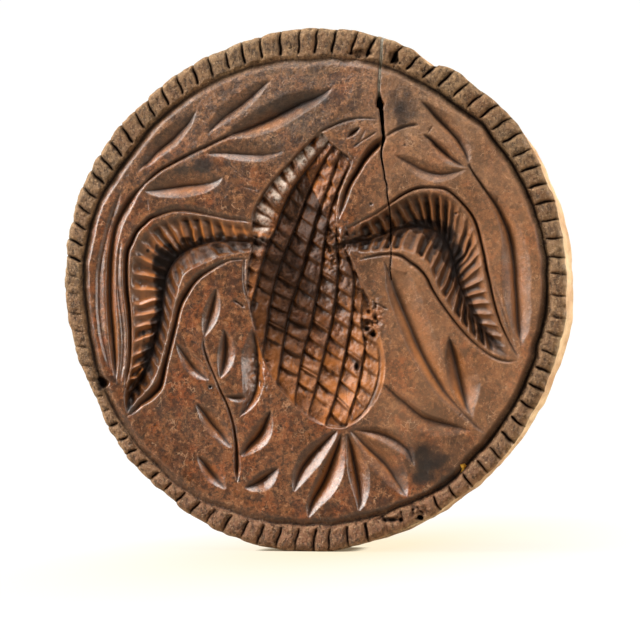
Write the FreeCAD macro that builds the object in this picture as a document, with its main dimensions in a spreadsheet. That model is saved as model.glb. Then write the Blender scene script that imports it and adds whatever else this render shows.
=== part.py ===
# Round carved wooden butter stamp: a thick oval disc with a sunk eagle and
# leaf pattern and a notched border, and a turned handle wedged into its back.
#
# Frame: millimetres, +Z up. The disc stands on its rim with its axis along Y,
# carved face towards -Y and handle towards +Y. The origin is on the ground,
# under the middle of the whole stamp. The shapes are drawn about the middle of
# the carved face (y = 0 on the rim land), then placed on the ground at the end.
# Left and right are as seen facing the carving: left is -X, right is +X.
import FreeCAD, Part
import Sketcher

import math
import os

os.makedirs("parts", exist_ok=True)

V = FreeCAD.Vector
doc = FreeCAD.newDocument("butter_stamp")

# ------------------------------------------------------------------ sizes
# (alias, value or formula); a formula uses only aliases above it
SIZES = [
    ("overrun", 1.0),               # how far shapes overlap or cutters overshoot
    ("fit_gap", 0.05),              # clearance between fitted parts
    # disc
    ("face_half_width", 55.0),      # the oval face, across the grain
    ("face_half_height", 57.0),     # along the grain
    ("edge_ease", 0.5),             # small bevel round the face
    ("side_depth", 21.0),           # where the side turns into the back round
    ("disc_thickness", 24.0),
    ("back_half_width", 54.2),      # the side draws in a little
    ("back_half_height", 56.6),
    ("back_drop", -0.4),            # back oval sits lower: straight underside
    ("back_round", 3.0),
    ("rest_height", -56.75),        # worn flat the disc stands on
    ("rest_cut_width", 60.0),
    ("rest_cut_height", 10.0),
    ("boss_radius", 18.0),
    ("boss_top_radius", 15.0),
    ("boss_height", 3.0),
    ("socket_radius", 8.0),
    ("socket_depth", 15.0),
    ("boss_top", "=disc_thickness + boss_height"),
    ("socket_floor", "=boss_top - socket_depth"),
    # ring groove and field
    ("border_radius", 51.2),        # bottom of the ring groove
    ("border_depth", 1.7),
    ("border_outer", 0.9),          # groove reach outwards at the land
    ("border_inner", 1.6),          # groove reach inwards at the field
    ("field_drop", 0.4),            # the carved field lies below the land
    ("field_inset", 0.7),           # field edge inside the groove bottom
    ("tool_lift", 0.5),             # how far cutters stand proud of the land
    ("ring_height", "=border_depth + tool_lift"),
    ("ring_outer_mouth", "=border_radius + border_outer * (1 + tool_lift / border_depth)"),
    ("ring_inner_mouth",
     "=border_radius - border_inner * ring_height / (border_depth - field_drop)"),
    # handle
    ("tenon_radius", "=socket_radius - fit_gap"),
    ("tenon_end_gap", 0.3),         # space left at the socket floor
    ("tenon_end", "=socket_floor + tenon_end_gap"),
    ("shoulder_at", "=boss_top + fit_gap"),
    ("shoulder_radius", 12.0),
    ("shoulder_end", 29.0),
    ("neck_radius", 8.8),
    ("neck_at", 37.0),
    ("cove_radius", 11.6),
    ("swell_radius", 9.4),
    ("swell_at", 46.0),
    ("grip_radius", 15.2),
    ("grip_at", 70.0),
    ("grip_curve", 52.55),
    ("handle_end", "=grip_at + grip_radius"),
    # tapered saw kerf in the tenon; wide, narrow and mouth are half widths
    ("kerf_end", 22.4),
    ("kerf_wide", 1.25),
    ("kerf_narrow", 0.35),
    ("kerf_start", "=tenon_end - overrun"),
    ("kerf_mouth",
     "=kerf_wide + (kerf_wide - kerf_narrow) / (kerf_end - tenon_end) * overrun"),
    ("kerf_cut_length", 30.0),
    # wedge; wide and narrow are half widths
    ("wedge_start", "=tenon_end + fit_gap"),
    ("wedge_length", 9.6),
    ("wedge_wide", 1.20),
    ("wedge_narrow", 0.34),
    ("wedge_half_width", 6.6),
    ("wedge_side_gap", 0.2),        # wedge ends inside the tenon's surface
]
sheet = doc.addObject("Spreadsheet::Sheet", "Sizes")
for row, (alias, value) in enumerate(SIZES, start=1):
    sheet.set("A%d" % row, alias)
    sheet.set("B%d" % row, str(value))
    sheet.setAlias("B%d" % row, alias)
doc.recompute()
SIZE = {alias: float(sheet.get(alias)) for alias, value in SIZES}

# turns that carry a primitive's own axes onto the disc's axes
UPRIGHT = FreeCAD.Rotation(V(1, 1, 1), -120)   # own X to Z, own Z to Y
BACKWARD = FreeCAD.Rotation(V(1, 0, 0), -90)   # own Z to Y


# ---------------------------------------------------------------- helpers
def add(kind, name, **expressions):
    """A document object whose listed properties follow the spreadsheet."""
    made = doc.addObject(kind, name)
    for key, expression in expressions.items():
        made.setExpression(key, expression)
    return made


def oval(name, half_height, half_width, at, drop):
    """An upright ellipse across the disc axis."""
    made = add("Part::Ellipse", name, MajorRadius=half_height, MinorRadius=half_width)
    made.Placement = FreeCAD.Placement(V(0, 0, 0), UPRIGHT)
    made.setExpression("Placement.Base.y", at)
    made.setExpression("Placement.Base.z", drop)
    return made


def along_y(shape, at):
    """Lay a primitive on the disc axis, starting at the given y."""
    shape.Placement = FreeCAD.Placement(V(0, 0, 0), BACKWARD)
    shape.setExpression("Placement.Base.y", at)
    return shape


def combine(kind, name, base, tool):
    """A Part::Cut or Part::Fuse that keeps every face."""
    made = doc.addObject(kind, name)
    made.Base = base
    made.Tool = tool
    made.Refine = False
    return made


# ------------------------------------------------------- disc, plain shapes
def build_blank():
    """The oval disc with its boss, before any cutting."""
    blank = doc.addObject("Part::Loft", "DiscBlank")
    blank.Sections = [
        oval("FaceOval", "Sizes.face_half_height - Sizes.edge_ease",
             "Sizes.face_half_width - Sizes.edge_ease", "0", "0"),
        oval("EdgeOval", "Sizes.face_half_height", "Sizes.face_half_width",
             "Sizes.edge_ease", "0"),
        oval("SideOval", "Sizes.back_half_height", "Sizes.back_half_width",
             "Sizes.side_depth", "Sizes.back_drop"),
        oval("BackOval", "Sizes.back_half_height - Sizes.back_round",
             "Sizes.back_half_width - Sizes.back_round",
             "Sizes.disc_thickness", "Sizes.back_drop"),
    ]
    blank.Solid = True
    blank.Ruled = True
    boss = add("Part::Cone", "Boss", Radius1="Sizes.boss_radius",
               Radius2="Sizes.boss_top_radius", Height="Sizes.boss_height + Sizes.overrun")
    along_y(boss, "Sizes.disc_thickness - Sizes.overrun")
    return combine("Part::Fuse", "DiscAndBoss", blank, boss)


def socket_cutter():
    """Blind hole for the tenon."""
    socket = add("Part::Cylinder", "Socket", Radius="Sizes.socket_radius",
                 Height="Sizes.socket_depth + Sizes.overrun")
    return along_y(socket, "Sizes.socket_floor")


def rest_cutter():
    """Block that cuts the flat under the disc."""
    rest = add("Part::Box", "RestFlat", Length="Sizes.rest_cut_width",
               Width="Sizes.disc_thickness + 2 * Sizes.overrun",
               Height="Sizes.rest_cut_height")
    rest.setExpression("Placement.Base.x", "-Sizes.rest_cut_width / 2")
    rest.setExpression("Placement.Base.y", "-Sizes.overrun")
    rest.setExpression("Placement.Base.z", "Sizes.rest_height - Sizes.rest_cut_height")
    return rest


def field_cutter():
    """Shallow round that sinks the carved field below the rim land."""
    field = add("Part::Cylinder", "Field", Radius="Sizes.border_radius - Sizes.field_inset",
                Height="Sizes.tool_lift + Sizes.field_drop")
    return along_y(field, "-Sizes.tool_lift")


def ring_cutter():
    """V-section ring: an outer cone less an inner one that meets its bottom."""
    cones = []
    for name, mouth in (("RingOuter", "Sizes.ring_outer_mouth"),
                        ("RingInner", "Sizes.ring_inner_mouth")):
        cone = add("Part::Cone", name, Radius1=mouth, Radius2="Sizes.border_radius",
                   Height="Sizes.ring_height")
        cones.append(along_y(cone, "-Sizes.tool_lift"))
    return combine("Part::Cut", "RingGroove", *cones)


# ---------------------------------------------------------- carving tables
# Gouge strokes: (x, z, reach left, reach right, depth) along the bottom of
# each cut, left and right of the direction of travel as seen from in front.
# The first and last station are only (x, z), where the stroke runs to a point.
LEAF_GOUGES = [
    # left stem
    [(-37.6, 23.1), (-40.6, 19.7, 1.31, 0.86, 1.11), (-43.0, 15.8, 1.51, 0.86, 1.28),
     (-44.4, 11.5, 1.51, 0.86, 1.3), (-45.0, 7.0, 1.51, 0.86, 1.35),
     (-45.1, 2.4, 1.51, 0.86, 1.35), (-45.1, -2.1, 1.51, 0.87, 1.3),
     (-44.7, -6.7, 1.29, 1.09, 1.3), (-44.3, -11.2, 1.06, 1.28, 1.28),
     (-43.9, -15.7, 0.8, 1.0, 1.0), (-43.7, -20.3)],
    # upper left leaves
    [(-38.9, 25.9), (-35.5, 29.3, 2.13, 1.31, 1.02), (-31.9, 32.4, 2.81, 1.73, 1.35),
     (-28.3, 35.6, 2.13, 1.31, 1.02), (-25.4, 39.4)],
    [(-23.4, 33.8), (-20.0, 37.2, 1.97, 1.31, 0.91), (-16.2, 39.9, 2.59, 1.73, 1.2),
     (-12.4, 42.8, 1.97, 1.31, 0.91), (-8.6, 45.6)],
    [(-19.8, 32.9), (-15.6, 34.6, 1.86, 1.61, 1.15), (-11.4, 36.2, 2.89, 2.51, 1.78),
     (-7.3, 38.0, 3.24, 2.81, 2.0), (-3.2, 40.0, 2.89, 2.51, 1.78),
     (1.0, 41.6, 1.86, 1.61, 1.15), (5.0, 43.7)],
    [(-24.0, 29.7), (-19.5, 29.9, 2.46, 1.31, 0.83), (-14.9, 29.6, 3.24, 1.73, 1.1),
     (-10.4, 29.4, 2.46, 1.31, 0.83), (-5.9, 30.0)],
    [(-37.3, 21.8), (-32.8, 22.2, 3.28, 1.97, 1.29), (-28.4, 22.8, 4.32, 2.59, 1.7),
     (-23.9, 23.2, 3.28, 1.97, 1.29), (-19.5, 24.5)],
    # long line at the right
    [(34.7, 26.1), (37.2, 22.3, 0.6, 0.5, 0.86), (39.8, 18.6, 0.94, 0.94, 1.17),
     (42.1, 14.7, 1.29, 1.29, 1.5), (43.6, 10.4, 1.64, 1.98, 1.82),
     (44.4, 6.0, 1.95, 2.85, 2.0), (44.8, 1.5, 1.95, 3.03, 2.0),
     (45.1, -3.1, 1.73, 2.9, 1.87), (45.3, -7.6, 1.49, 2.12, 1.56), (45.9, -12.1)],
    # upper right leaves
    [(24.1, 40.4), (27.2, 37.2, 1.97, 1.31, 1.02), (30.3, 34.1, 2.59, 1.73, 1.35),
     (33.0, 30.6, 1.97, 1.31, 1.02), (34.7, 26.6)],
    [(24.5, 33.2), (27.0, 31.3, 0.98, 1.31, 0.83), (29.3, 29.3, 1.3, 1.73, 1.1),
     (31.7, 27.3, 0.98, 1.31, 0.83), (34.3, 25.7)],
    [(18.4, 28.8), (22.2, 26.9, 1.47, 1.47, 0.64), (26.0, 25.1, 1.95, 1.95, 0.85),
     (30.2, 24.7, 1.47, 1.47, 0.64), (34.3, 25.5)],
    # lower right leaves
    [(16.2, 5.7), (17.8, 1.6, 3.59, 1.41, 1.13), (19.4, -2.4, 4.11, 2.05, 1.84),
     (21.1, -6.5, 4.0, 2.27, 2.1), (22.8, -10.5, 3.83, 2.38, 2.1),
     (24.7, -14.4, 3.64, 2.38, 1.98), (26.8, -18.3, 3.08, 2.19, 1.81),
     (29.2, -21.9, 2.37, 1.88, 1.44), (32.0, -25.3, 1.7, 1.26, 0.98),
     (35.0, -28.4, 0.99, 0.76, 0.56), (38.4, -31.3)],
    [(30.4, -10.5), (31.6, -15.0, 2.0, 2.2, 1.72), (32.6, -19.4, 3.64, 3.02, 2.39),
     (33.8, -23.9, 2.87, 2.29, 2.0), (35.5, -28.1)],
    [(15.3, -20.1), (18.9, -23.1, 0.71, 1.98, 0.69), (22.5, -26.0, 1.04, 2.91, 1.01),
     (26.4, -28.3, 1.04, 2.91, 1.01), (30.9, -29.5, 0.71, 1.98, 0.69), (35.3, -30.7)],
    # five petals fanning out below the body
    [(6.1, -30.5), (2.9, -33.4, 1.64, 1.64, 1.29), (-0.1, -36.5, 2.16, 2.16, 1.7),
     (-2.5, -40.0, 1.64, 1.64, 1.29), (-3.8, -44.1)],
    [(6.8, -31.1), (5.2, -35.9, 1.97, 1.47, 1.59), (3.4, -40.6, 2.59, 1.95, 2.1),
     (1.0, -45.0, 1.97, 1.47, 1.59), (-0.6, -49.7)],
    [(8.0, -31.1), (9.0, -35.4, 1.8, 1.31, 1.36), (9.9, -39.7, 2.38, 1.73, 1.8),
     (10.6, -44.0, 1.8, 1.31, 1.36), (10.6, -48.3)],
    [(8.7, -30.5), (12.0, -34.0, 2.13, 2.13, 1.29), (15.6, -37.2, 2.81, 2.81, 1.7),
     (18.6, -41.0, 2.13, 2.13, 1.29), (21.2, -45.1)],
    [(9.1, -30.4), (13.4, -30.9, 1.15, 1.31, 0.91), (17.5, -32.1, 1.51, 1.73, 1.2),
     (21.1, -34.5, 1.15, 1.31, 0.91), (22.8, -38.4)],
    # stem of the lower left sprig
    [(-24.0, -10.3), (-23.1, -14.9, 0.43, 0.43, 0.7), (-21.3, -19.2, 0.43, 0.43, 0.7),
     (-19.3, -23.5, 0.43, 0.43, 0.7), (-17.6, -27.8, 0.43, 0.43, 0.7),
     (-16.7, -32.4, 0.47, 0.47, 0.83), (-16.3, -37.1, 0.65, 0.69, 1.0), (-16.3, -41.8)],
    # leaves of the sprig
    [(-23.8, -10.5), (-23.2, -7.8, 1.31, 1.15, 1.06), (-22.4, -5.1, 1.73, 1.51, 1.4),
     (-21.7, -2.3, 1.31, 1.15, 1.06), (-21.0, 0.4)],
    [(-20.3, -19.7), (-19.6, -16.9, 1.31, 1.31, 1.21), (-19.2, -14.2, 1.73, 1.73, 1.6),
     (-19.1, -11.4, 1.31, 1.31, 1.21), (-19.3, -8.6)],
    [(-12.9, -8.2), (-12.1, -12.3, 1.51, 3.01, 1.86), (-11.7, -16.4, 1.51, 3.89, 2.52),
     (-11.9, -20.6, 1.51, 3.69, 2.51), (-13.3, -24.4, 1.3, 1.95, 1.7), (-15.9, -27.7)],
    [(-19.3, -23.1), (-17.7, -23.4, 0.66, 0.66, 0.61), (-16.1, -23.5, 0.86, 0.86, 0.8),
     (-14.6, -23.4, 0.66, 0.66, 0.61), (-13.0, -23.1)],
    [(-30.1, -11.8), (-28.5, -14.1, 1.31, 1.31, 0.99), (-26.9, -16.3, 1.73, 1.73, 1.3),
     (-24.9, -18.3, 1.31, 1.31, 0.99), (-22.6, -19.9)],
    [(-25.7, -24.7), (-23.7, -27.2, 1.47, 1.47, 1.14), (-21.7, -29.8, 1.95, 1.95, 1.5),
     (-19.5, -32.2, 1.47, 1.47, 1.14), (-17.5, -34.7)],
    [(-25.3, -36.2), (-23.7, -38.1, 1.31, 1.31, 1.02), (-22.2, -40.0, 1.73, 1.73, 1.35),
     (-20.6, -41.8, 1.31, 1.31, 1.02), (-18.8, -43.6)],
    [(-8.8, -26.2), (-10.1, -29.0, 1.47, 1.47, 1.36), (-11.6, -31.7, 1.95, 1.95, 1.8),
     (-13.7, -34.0, 1.47, 1.47, 1.36), (-15.7, -36.4)],
    [(-7.0, -38.6), (-8.9, -39.9, 1.47, 1.31, 1.1), (-10.7, -41.3, 1.95, 1.73, 1.45),
     (-12.7, -42.4, 1.47, 1.31, 1.1), (-14.8, -43.2)],
    # top of the head
    [(0.5, 32.7), (5.0, 35.3, 0.33, 0.33, 0.43), (9.9, 36.7, 0.33, 0.33, 0.43), (15.1, 36.6)],
    # eye
    [(7.8, 32.4), (8.6, 33.1, 0.52, 0.52, 0.68), (9.4, 33.8, 0.69, 0.69, 0.9),
     (10.3, 34.4, 0.52, 0.52, 0.68), (11.1, 34.9)],
    # beak
    [(9.1, 30.4), (11.0, 31.7, 0.26, 0.26, 0.38), (12.9, 32.9, 0.26, 0.26, 0.38), (14.9, 34.0)],
    # throat
    [(16.2, 32.5), (13.4, 29.5, 0.83, 1.35, 1.94), (11.0, 26.2, 0.65, 0.92, 1.55),
     (8.8, 22.8, 0.7, 0.86, 1.35), (7.3, 19.0, 0.8, 0.8, 1.01), (6.2, 15.1)],
    # left outline of the body, upper then lower
    [(0.5, 32.7), (-2.7, 29.4, 0.31, 0.27, 0.72), (-6.0, 26.0, 0.39, 0.35, 0.9),
     (-9.1, 22.5, 0.39, 0.35, 0.9), (-11.7, 18.6, 0.31, 0.27, 0.72), (-13.3, 14.2)],
    [(-14.6, 7.7), (-14.8, 3.5, 0.25, 0.25, 0.41), (-14.4, -0.7, 0.3, 0.3, 0.5),
     (-13.1, -4.7, 0.25, 0.25, 0.41), (-12.4, -8.8)],
    # left shoulder
    [(-15.7, 10.7), (-14.1, 9.9, 0.41, 0.3, 0.6), (-12.6, 9.0, 0.41, 0.3, 0.6), (-11.0, 8.1)],
]
WING_GOUGES = [
    # left wing, outer line
    [(-13.0, 14.7), (-18.2, 15.4, 0.43, 0.85, 0.59), (-23.3, 16.5, 0.43, 1.2, 0.75),
     (-28.4, 17.3, 0.43, 1.44, 0.8), (-33.5, 16.6, 0.43, 1.19, 0.8),
     (-37.8, 13.9, 0.43, 0.86, 1.02), (-40.5, 9.5, 0.43, 1.02, 1.29),
     (-41.2, 4.4, 0.43, 1.08, 1.5), (-41.0, -0.7, 0.43, 1.06, 1.48),
     (-40.5, -5.9, 0.43, 0.92, 1.33), (-40.4, -11.1, 0.43, 0.79, 1.14),
     (-40.6, -16.3, 0.43, 0.76, 1.0), (-41.7, -21.4)],
    # left wing, inner line
    [(-14.1, 6.6), (-18.4, 6.1, 0.36, 0.51, 0.44), (-22.4, 4.3, 0.54, 0.86, 0.69),
     (-25.8, 1.8, 0.54, 1.08, 0.97), (-28.2, -1.8, 0.54, 1.25, 1.26),
     (-29.7, -5.8, 0.54, 1.3, 1.3), (-30.8, -10.0, 0.54, 1.16, 1.3),
     (-31.9, -14.2, 0.54, 1.08, 1.3), (-32.9, -18.5, 0.54, 1.12, 1.43),
     (-34.6, -22.3, 0.73, 1.73, 1.69), (-38.0, -25.0, 0.64, 1.06, 0.98), (-41.3, -27.7)],
    # left wing, main hollow
    [(-9.5, 10.3), (-14.3, 10.4, 2.4, 3.7, 1.31), (-19.0, 10.6, 3.24, 4.96, 1.9),
     (-23.8, 10.2, 4.25, 6.34, 2.53), (-28.3, 8.5, 4.32, 8.22, 3.3),
     (-31.6, 5.1, 3.86, 8.76, 3.6), (-33.0, 0.6, 3.47, 7.7, 3.5),
     (-33.5, -4.2, 3.11, 6.74, 3.28), (-34.4, -8.9, 2.81, 5.79, 2.99),
     (-35.7, -13.5, 2.81, 4.63, 2.69), (-37.3, -18.0, 2.81, 3.42, 2.39),
     (-39.8, -22.1, 2.34, 1.97, 1.91), (-41.1, -26.6)],
    # right wing, main hollow
    [(5.4, 9.3), (9.9, 10.0, 3.33, 2.25, 1.41), (14.3, 11.1, 4.48, 3.4, 2.14),
     (18.6, 12.5, 5.55, 4.77, 2.77), (23.0, 13.3, 6.93, 6.2, 3.2),
     (27.4, 12.4, 7.74, 7.13, 3.51), (30.3, 9.1, 7.01, 6.63, 3.6),
     (31.7, 4.8, 6.23, 5.36, 3.38), (32.9, 0.4, 5.65, 4.57, 3.01),
     (34.7, -3.7, 4.9, 3.82, 2.55), (37.0, -7.6, 4.09, 3.16, 2.09),
     (39.7, -11.3, 2.76, 2.38, 1.45), (42.9, -14.4)],
    # right wing, outer line
    [(8.3, 13.1), (13.1, 15.4, 0.48, 0.37, 0.57), (17.6, 18.3, 0.48, 0.43, 0.79),
     (22.2, 21.0, 0.48, 0.43, 0.79), (27.4, 21.5, 0.48, 0.45, 0.62),
     (32.2, 19.4, 0.48, 0.79, 0.93), (35.6, 15.4, 0.48, 1.06, 1.28),
     (37.4, 10.3, 0.48, 1.08, 1.3), (38.5, 5.1, 0.48, 1.08, 1.3),
     (39.6, -0.1, 0.48, 1.03, 1.2), (40.9, -5.3, 0.48, 0.93, 1.16),
     (42.9, -10.3, 0.48, 0.83, 0.93), (45.3, -15.1)],
    # right wing, inner line
    [(10.9, 6.2), (15.2, 7.2, 0.39, 0.52, 0.58), (19.6, 7.1, 0.39, 0.82, 0.78),
     (23.4, 4.7, 0.39, 0.97, 0.97), (26.1, 1.3, 0.39, 0.93, 1.0),
     (28.3, -2.6, 0.39, 0.86, 0.9), (31.0, -6.2, 0.39, 0.86, 0.9),
     (33.8, -9.6, 0.39, 0.86, 0.9), (37.0, -12.7, 0.39, 0.71, 0.76),
     (40.7, -15.1, 0.39, 0.65, 0.6), (45.1, -15.7)],
]
# Short straight cuts across the wings: (start x, start z, end x, end z)
FLUTES_LEFT = [
    (-13.0, 14.5, -11.9, 10.7), (-18.0, 15.2, -16.6, 10.8), (-22.9, 16.1, -21.1, 10.8),
    (-27.8, 17.2, -25.1, 10.0), (-32.7, 16.9, -28.5, 8.7), (-37.3, 14.1, -31.0, 6.8),
    (-40.7, 8.4, -32.4, 4.4), (-40.8, 0.5, -33.2, 0.0), (-40.3, -5.7, -33.8, -4.6),
    (-40.2, -11.6, -35.0, -9.6), (-40.6, -17.4, -37.0, -15.7), (-41.3, -22.3, -39.8, -21.4),
    (-10.8, 10.1, -9.9, 8.8), (-17.1, 10.4, -14.1, 7.3), (-23.3, 10.2, -19.7, 6.2),
    (-28.5, 8.3, -25.3, 3.7), (-31.7, 4.8, -28.9, -0.2), (-33.1, 0.0, -30.9, -4.6),
    (-33.9, -5.7, -32.0, -9.6), (-35.1, -11.3, -33.2, -14.4), (-37.0, -17.0, -35.5, -19.6),
    (-40.0, -22.0, -38.6, -23.6),
]
FLUTES_RIGHT = [
    (10.2, 13.7, 11.3, 10.7), (14.6, 15.9, 16.8, 12.2), (18.8, 18.8, 21.7, 13.4),
    (23.4, 21.0, 25.8, 13.4), (28.6, 21.1, 29.1, 11.6), (33.2, 18.0, 30.8, 8.1),
    (36.1, 13.2, 31.7, 5.1), (37.4, 7.9, 32.3, 2.5), (38.6, 2.3, 33.3, -0.2),
    (39.9, -3.2, 34.9, -3.5), (41.7, -8.3, 37.3, -7.6), (44.0, -12.9, 40.5, -11.9),
    (11.3, 10.3, 10.2, 8.1), (16.8, 11.7, 14.9, 7.9), (22.1, 13.1, 19.9, 7.6),
    (27.5, 12.0, 24.3, 4.6), (30.7, 8.1, 27.0, 0.4), (32.0, 3.4, 29.7, -3.9),
    (33.6, -1.3, 33.0, -8.2), (36.2, -5.8, 36.6, -11.8), (39.5, -10.6, 41.0, -14.6),
]
FLUTE_REACH = 0.9
FLUTE_DEPTHS = (1.6, 2.9)           # at one third and two thirds of its length

# The body hollow, columns as for the gouges
BODY = [
    (2.5, 33.1), (1.4, 27.9, 7.16, 4.33, 2.97), (-0.4, 21.5, 6.48, 7.75, 3.1),
    (-2.1, 15.0, 8.05, 9.98, 3.1), (-3.0, 8.5, 10.68, 9.7, 3.1),
    (-2.3, 2.0, 12.22, 11.61, 3.1), (-0.8, -4.5, 13.27, 11.96, 3.1),
    (1.0, -11.0, 14.03, 11.97, 3.1), (2.5, -17.5, 13.89, 10.55, 3.1),
    (4.1, -24.0, 12.08, 6.9, 3.1), (5.8, -29.8),
]
BODY_BEND = ((0.45, 0.86), (0.8, 0.5))      # (share of reach, share of depth)
# (x, z) along the rows of deeper grooves down the body
BODY_ROWS = [
    [(2.3, 30.1), (-1.5, 25.3), (-4.9, 20.3), (-7.3, 14.7), (-9.6, 9.1), (-11.4, 3.3),
     (-13.0, -2.5)],
    [(4.5, 30.3), (1.2, 24.6), (-1.4, 18.6), (-3.8, 12.5), (-6.4, 6.5), (-8.3, 0.2),
     (-9.4, -6.2), (-10.3, -12.7)],
    [(6.5, 29.2), (4.3, 23.3), (2.0, 17.4), (0.2, 11.3), (-1.6, 5.3), (-3.5, -0.7),
     (-5.2, -6.8), (-6.2, -13.0), (-7.2, -19.2)],
    [(9.1, 27.6), (6.2, 21.8), (4.1, 15.6), (3.0, 9.1), (2.2, 2.7), (0.9, -3.8),
     (-0.6, -10.1), (-2.2, -16.5), (-3.2, -22.9)],
    [(6.3, 16.0), (5.6, 9.8), (6.0, 3.7), (5.5, -2.4), (4.4, -8.5), (2.9, -14.5),
     (1.4, -20.5), (-0.2, -26.4)],
    [(7.6, 7.5), (9.5, 1.6), (9.2, -4.7), (8.3, -11.0), (7.1, -17.2), (5.5, -23.3),
     (3.4, -29.2)],
    [(11.3, -3.8), (11.6, -10.0), (11.4, -16.2), (10.2, -22.4), (8.1, -28.3)],
    [(14.6, -11.7), (15.0, -18.2), (13.1, -24.4), (8.7, -29.2)],
]
ROW_REACH = 0.85
ROW_DEPTH = 3.6
ROW_EXTENSION = 0.8                 # run-out added at both ends of a row

# Border notches: degrees from +X towards +Z
NOTCH_ANGLES = [
    3.0, 6.8, 11.1, 15.3, 19.6, 23.8, 28.0, 32.0, 36.2, 40.2, 44.3, 48.3, 52.4, 56.7, 60.8,
    65.2, 69.6, 75.8, 79.9, 84.6, 88.8, 92.8, 97.3, 102.0, 106.4, 110.4, 114.7, 118.8, 123.2,
    127.6, 132.0, 135.9, 140.3, 144.5, 148.6, 152.6, 156.7, 160.7, 164.6, 168.5, 172.3, 176.4,
    180.5, 185.3, 189.4, 193.2, 197.9, 201.7, 205.8, 209.5, 213.3, 217.4, 221.1, 224.8, 229.0,
    233.1, 237.1, 241.4, 245.6, 249.9, 254.3, 258.3, 262.6, 266.8, 271.0, 274.4, 278.7, 283.3,
    288.0, 292.2, 296.1, 300.8, 305.2, 309.7, 314.4, 318.7, 323.3, 327.5, 331.9, 336.5, 340.8,
    344.9, 349.2, 353.2, 358.1,
]
NOTCH_RADII = (49.6, 51.3, 59.0, 61.0)      # stations outwards along a notch
NOTCH_REACH = 0.5
NOTCH_DEPTH = 1.1

# Drying crack from the rim inwards: (x, z, full width)
CRACK = [
    (15.8, 54.5, 0.78), (15.3, 47.2, 0.7), (15.2, 41.1, 1.01), (15.7, 37.7, 0.86),
    (16.1, 32.5, 0.93), (15.9, 27.1, 0.43), (16.8, 22.3, 0.35), (17.5, 16.5, 0.23),
    (17.8, 7.2, 0.23),
]
CRACK_RUN_OUT = 6.0                 # the cutter goes this far past the first station
CRACK_MOUTH = 0.45                  # half width at the run-out
CRACK_FRONT = -1.0                  # y where the crack cutters start
CRACK_FACE_LENGTH = 3.2
CRACK_THROUGH_LENGTH = 30.0
CRACK_THROUGH_FROM = 36.0           # open right through above this z
CRACK_BOX = 40.0                    # side of the box that keeps the open part


# --------------------------------------------------------- carving cutters
def facet(points):
    return Part.Face(Part.makePolygon(list(points) + [points[0]]))


def stroke(stations, bend=()):
    """A closed cutter for one gouge stroke. bend lists (share of reach, share
    of depth) pairs between the valley and the edge, for a rounded hollow."""
    lift = SIZE["tool_lift"]
    edge_share, edge_depth = bend[-1] if bend else (0.0, 1.0)
    rails = [[V(stations[0][0], -lift, stations[0][1])]]
    for before, station, after in zip(stations, stations[1:], stations[2:]):
        x, z, left, right, depth = station
        run_x, run_z = after[0] - before[0], after[1] - before[1]
        length = math.hypot(run_x, run_z)
        side_x, side_z = -run_z / length, run_x / length
        # the sloping sides go on above the land, up to the tool lift
        grow = (lift + depth * edge_depth) / (depth * edge_depth)
        out = edge_share + (1 - edge_share) * grow

        def at(reach, y):
            return V(x + side_x * reach, y, z + side_z * reach)

        rails.append(
            [at(left * out, -lift)]
            + [at(left * share, depth * deep) for share, deep in reversed(bend)]
            + [V(x, depth, z)]
            + [at(-right * share, depth * deep) for share, deep in bend]
            + [at(-right * out, -lift)])
    rails.append([V(stations[-1][0], -lift, stations[-1][1])])

    faces = []
    for a, b in zip(rails, rails[1:]):
        if len(a) == 1:
            for k in range(len(b) - 1):
                faces.append(facet([a[0], b[k], b[k + 1]]))
            faces.append(facet([a[0], b[-1], b[0]]))
        elif len(b) == 1:
            for k in range(len(a) - 1):
                faces.append(facet([a[k], b[0], a[k + 1]]))
            faces.append(facet([a[0], a[-1], b[0]]))
        else:
            for k in range(len(a) - 1):
                faces.append(facet([a[k], b[k], a[k + 1]]))
                faces.append(facet([a[k + 1], b[k], b[k + 1]]))
            faces.append(facet([a[0], a[-1], b[-1]]))
            faces.append(facet([a[0], b[-1], b[0]]))
    solid = Part.Solid(Part.Shell(faces))
    if solid.Volume < 0:
        solid.reverse()
    return solid


def even_stroke(line, reach, depths):
    """A symmetric stroke along (x, z) points; depths are for the inner ones."""
    middle = [(x, z, reach, reach, depth) for (x, z), depth in zip(line[1:-1], depths)]
    return stroke([line[0]] + middle + [line[-1]])


def extend(points, by):
    """The same line with both ends pushed out by a distance."""
    def beyond(inner, end):
        (x0, z0), (x1, z1) = inner, end
        length = math.hypot(x1 - x0, z1 - z0)
        return x1 + (x1 - x0) / length * by, z1 + (z1 - z0) / length * by

    return [beyond(points[1], points[0])] + points + [beyond(points[-2], points[-1])]


def leaf_solids():
    return [stroke(stations) for stations in LEAF_GOUGES]


def wing_solids():
    solids = [stroke(stations) for stations in WING_GOUGES]
    for x0, z0, x1, z1 in FLUTES_LEFT + FLUTES_RIGHT:
        line = [(x0 + (x1 - x0) * k / 3.0, z0 + (z1 - z0) * k / 3.0) for k in range(4)]
        solids.append(even_stroke(line, FLUTE_REACH, FLUTE_DEPTHS))
    return solids


def breast_solids():
    solids = [stroke(BODY, bend=BODY_BEND)]
    for row in BODY_ROWS:
        solids.append(even_stroke(extend(row, ROW_EXTENSION), ROW_REACH,
                                  [ROW_DEPTH] * len(row)))
    return solids


def notch_solids():
    solids = []
    for angle in NOTCH_ANGLES:
        cosine, sine = math.cos(math.radians(angle)), math.sin(math.radians(angle))
        line = [(radius * cosine, radius * sine) for radius in NOTCH_RADII]
        solids.append(even_stroke(line, NOTCH_REACH, [NOTCH_DEPTH] * 2))
    return solids


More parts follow.
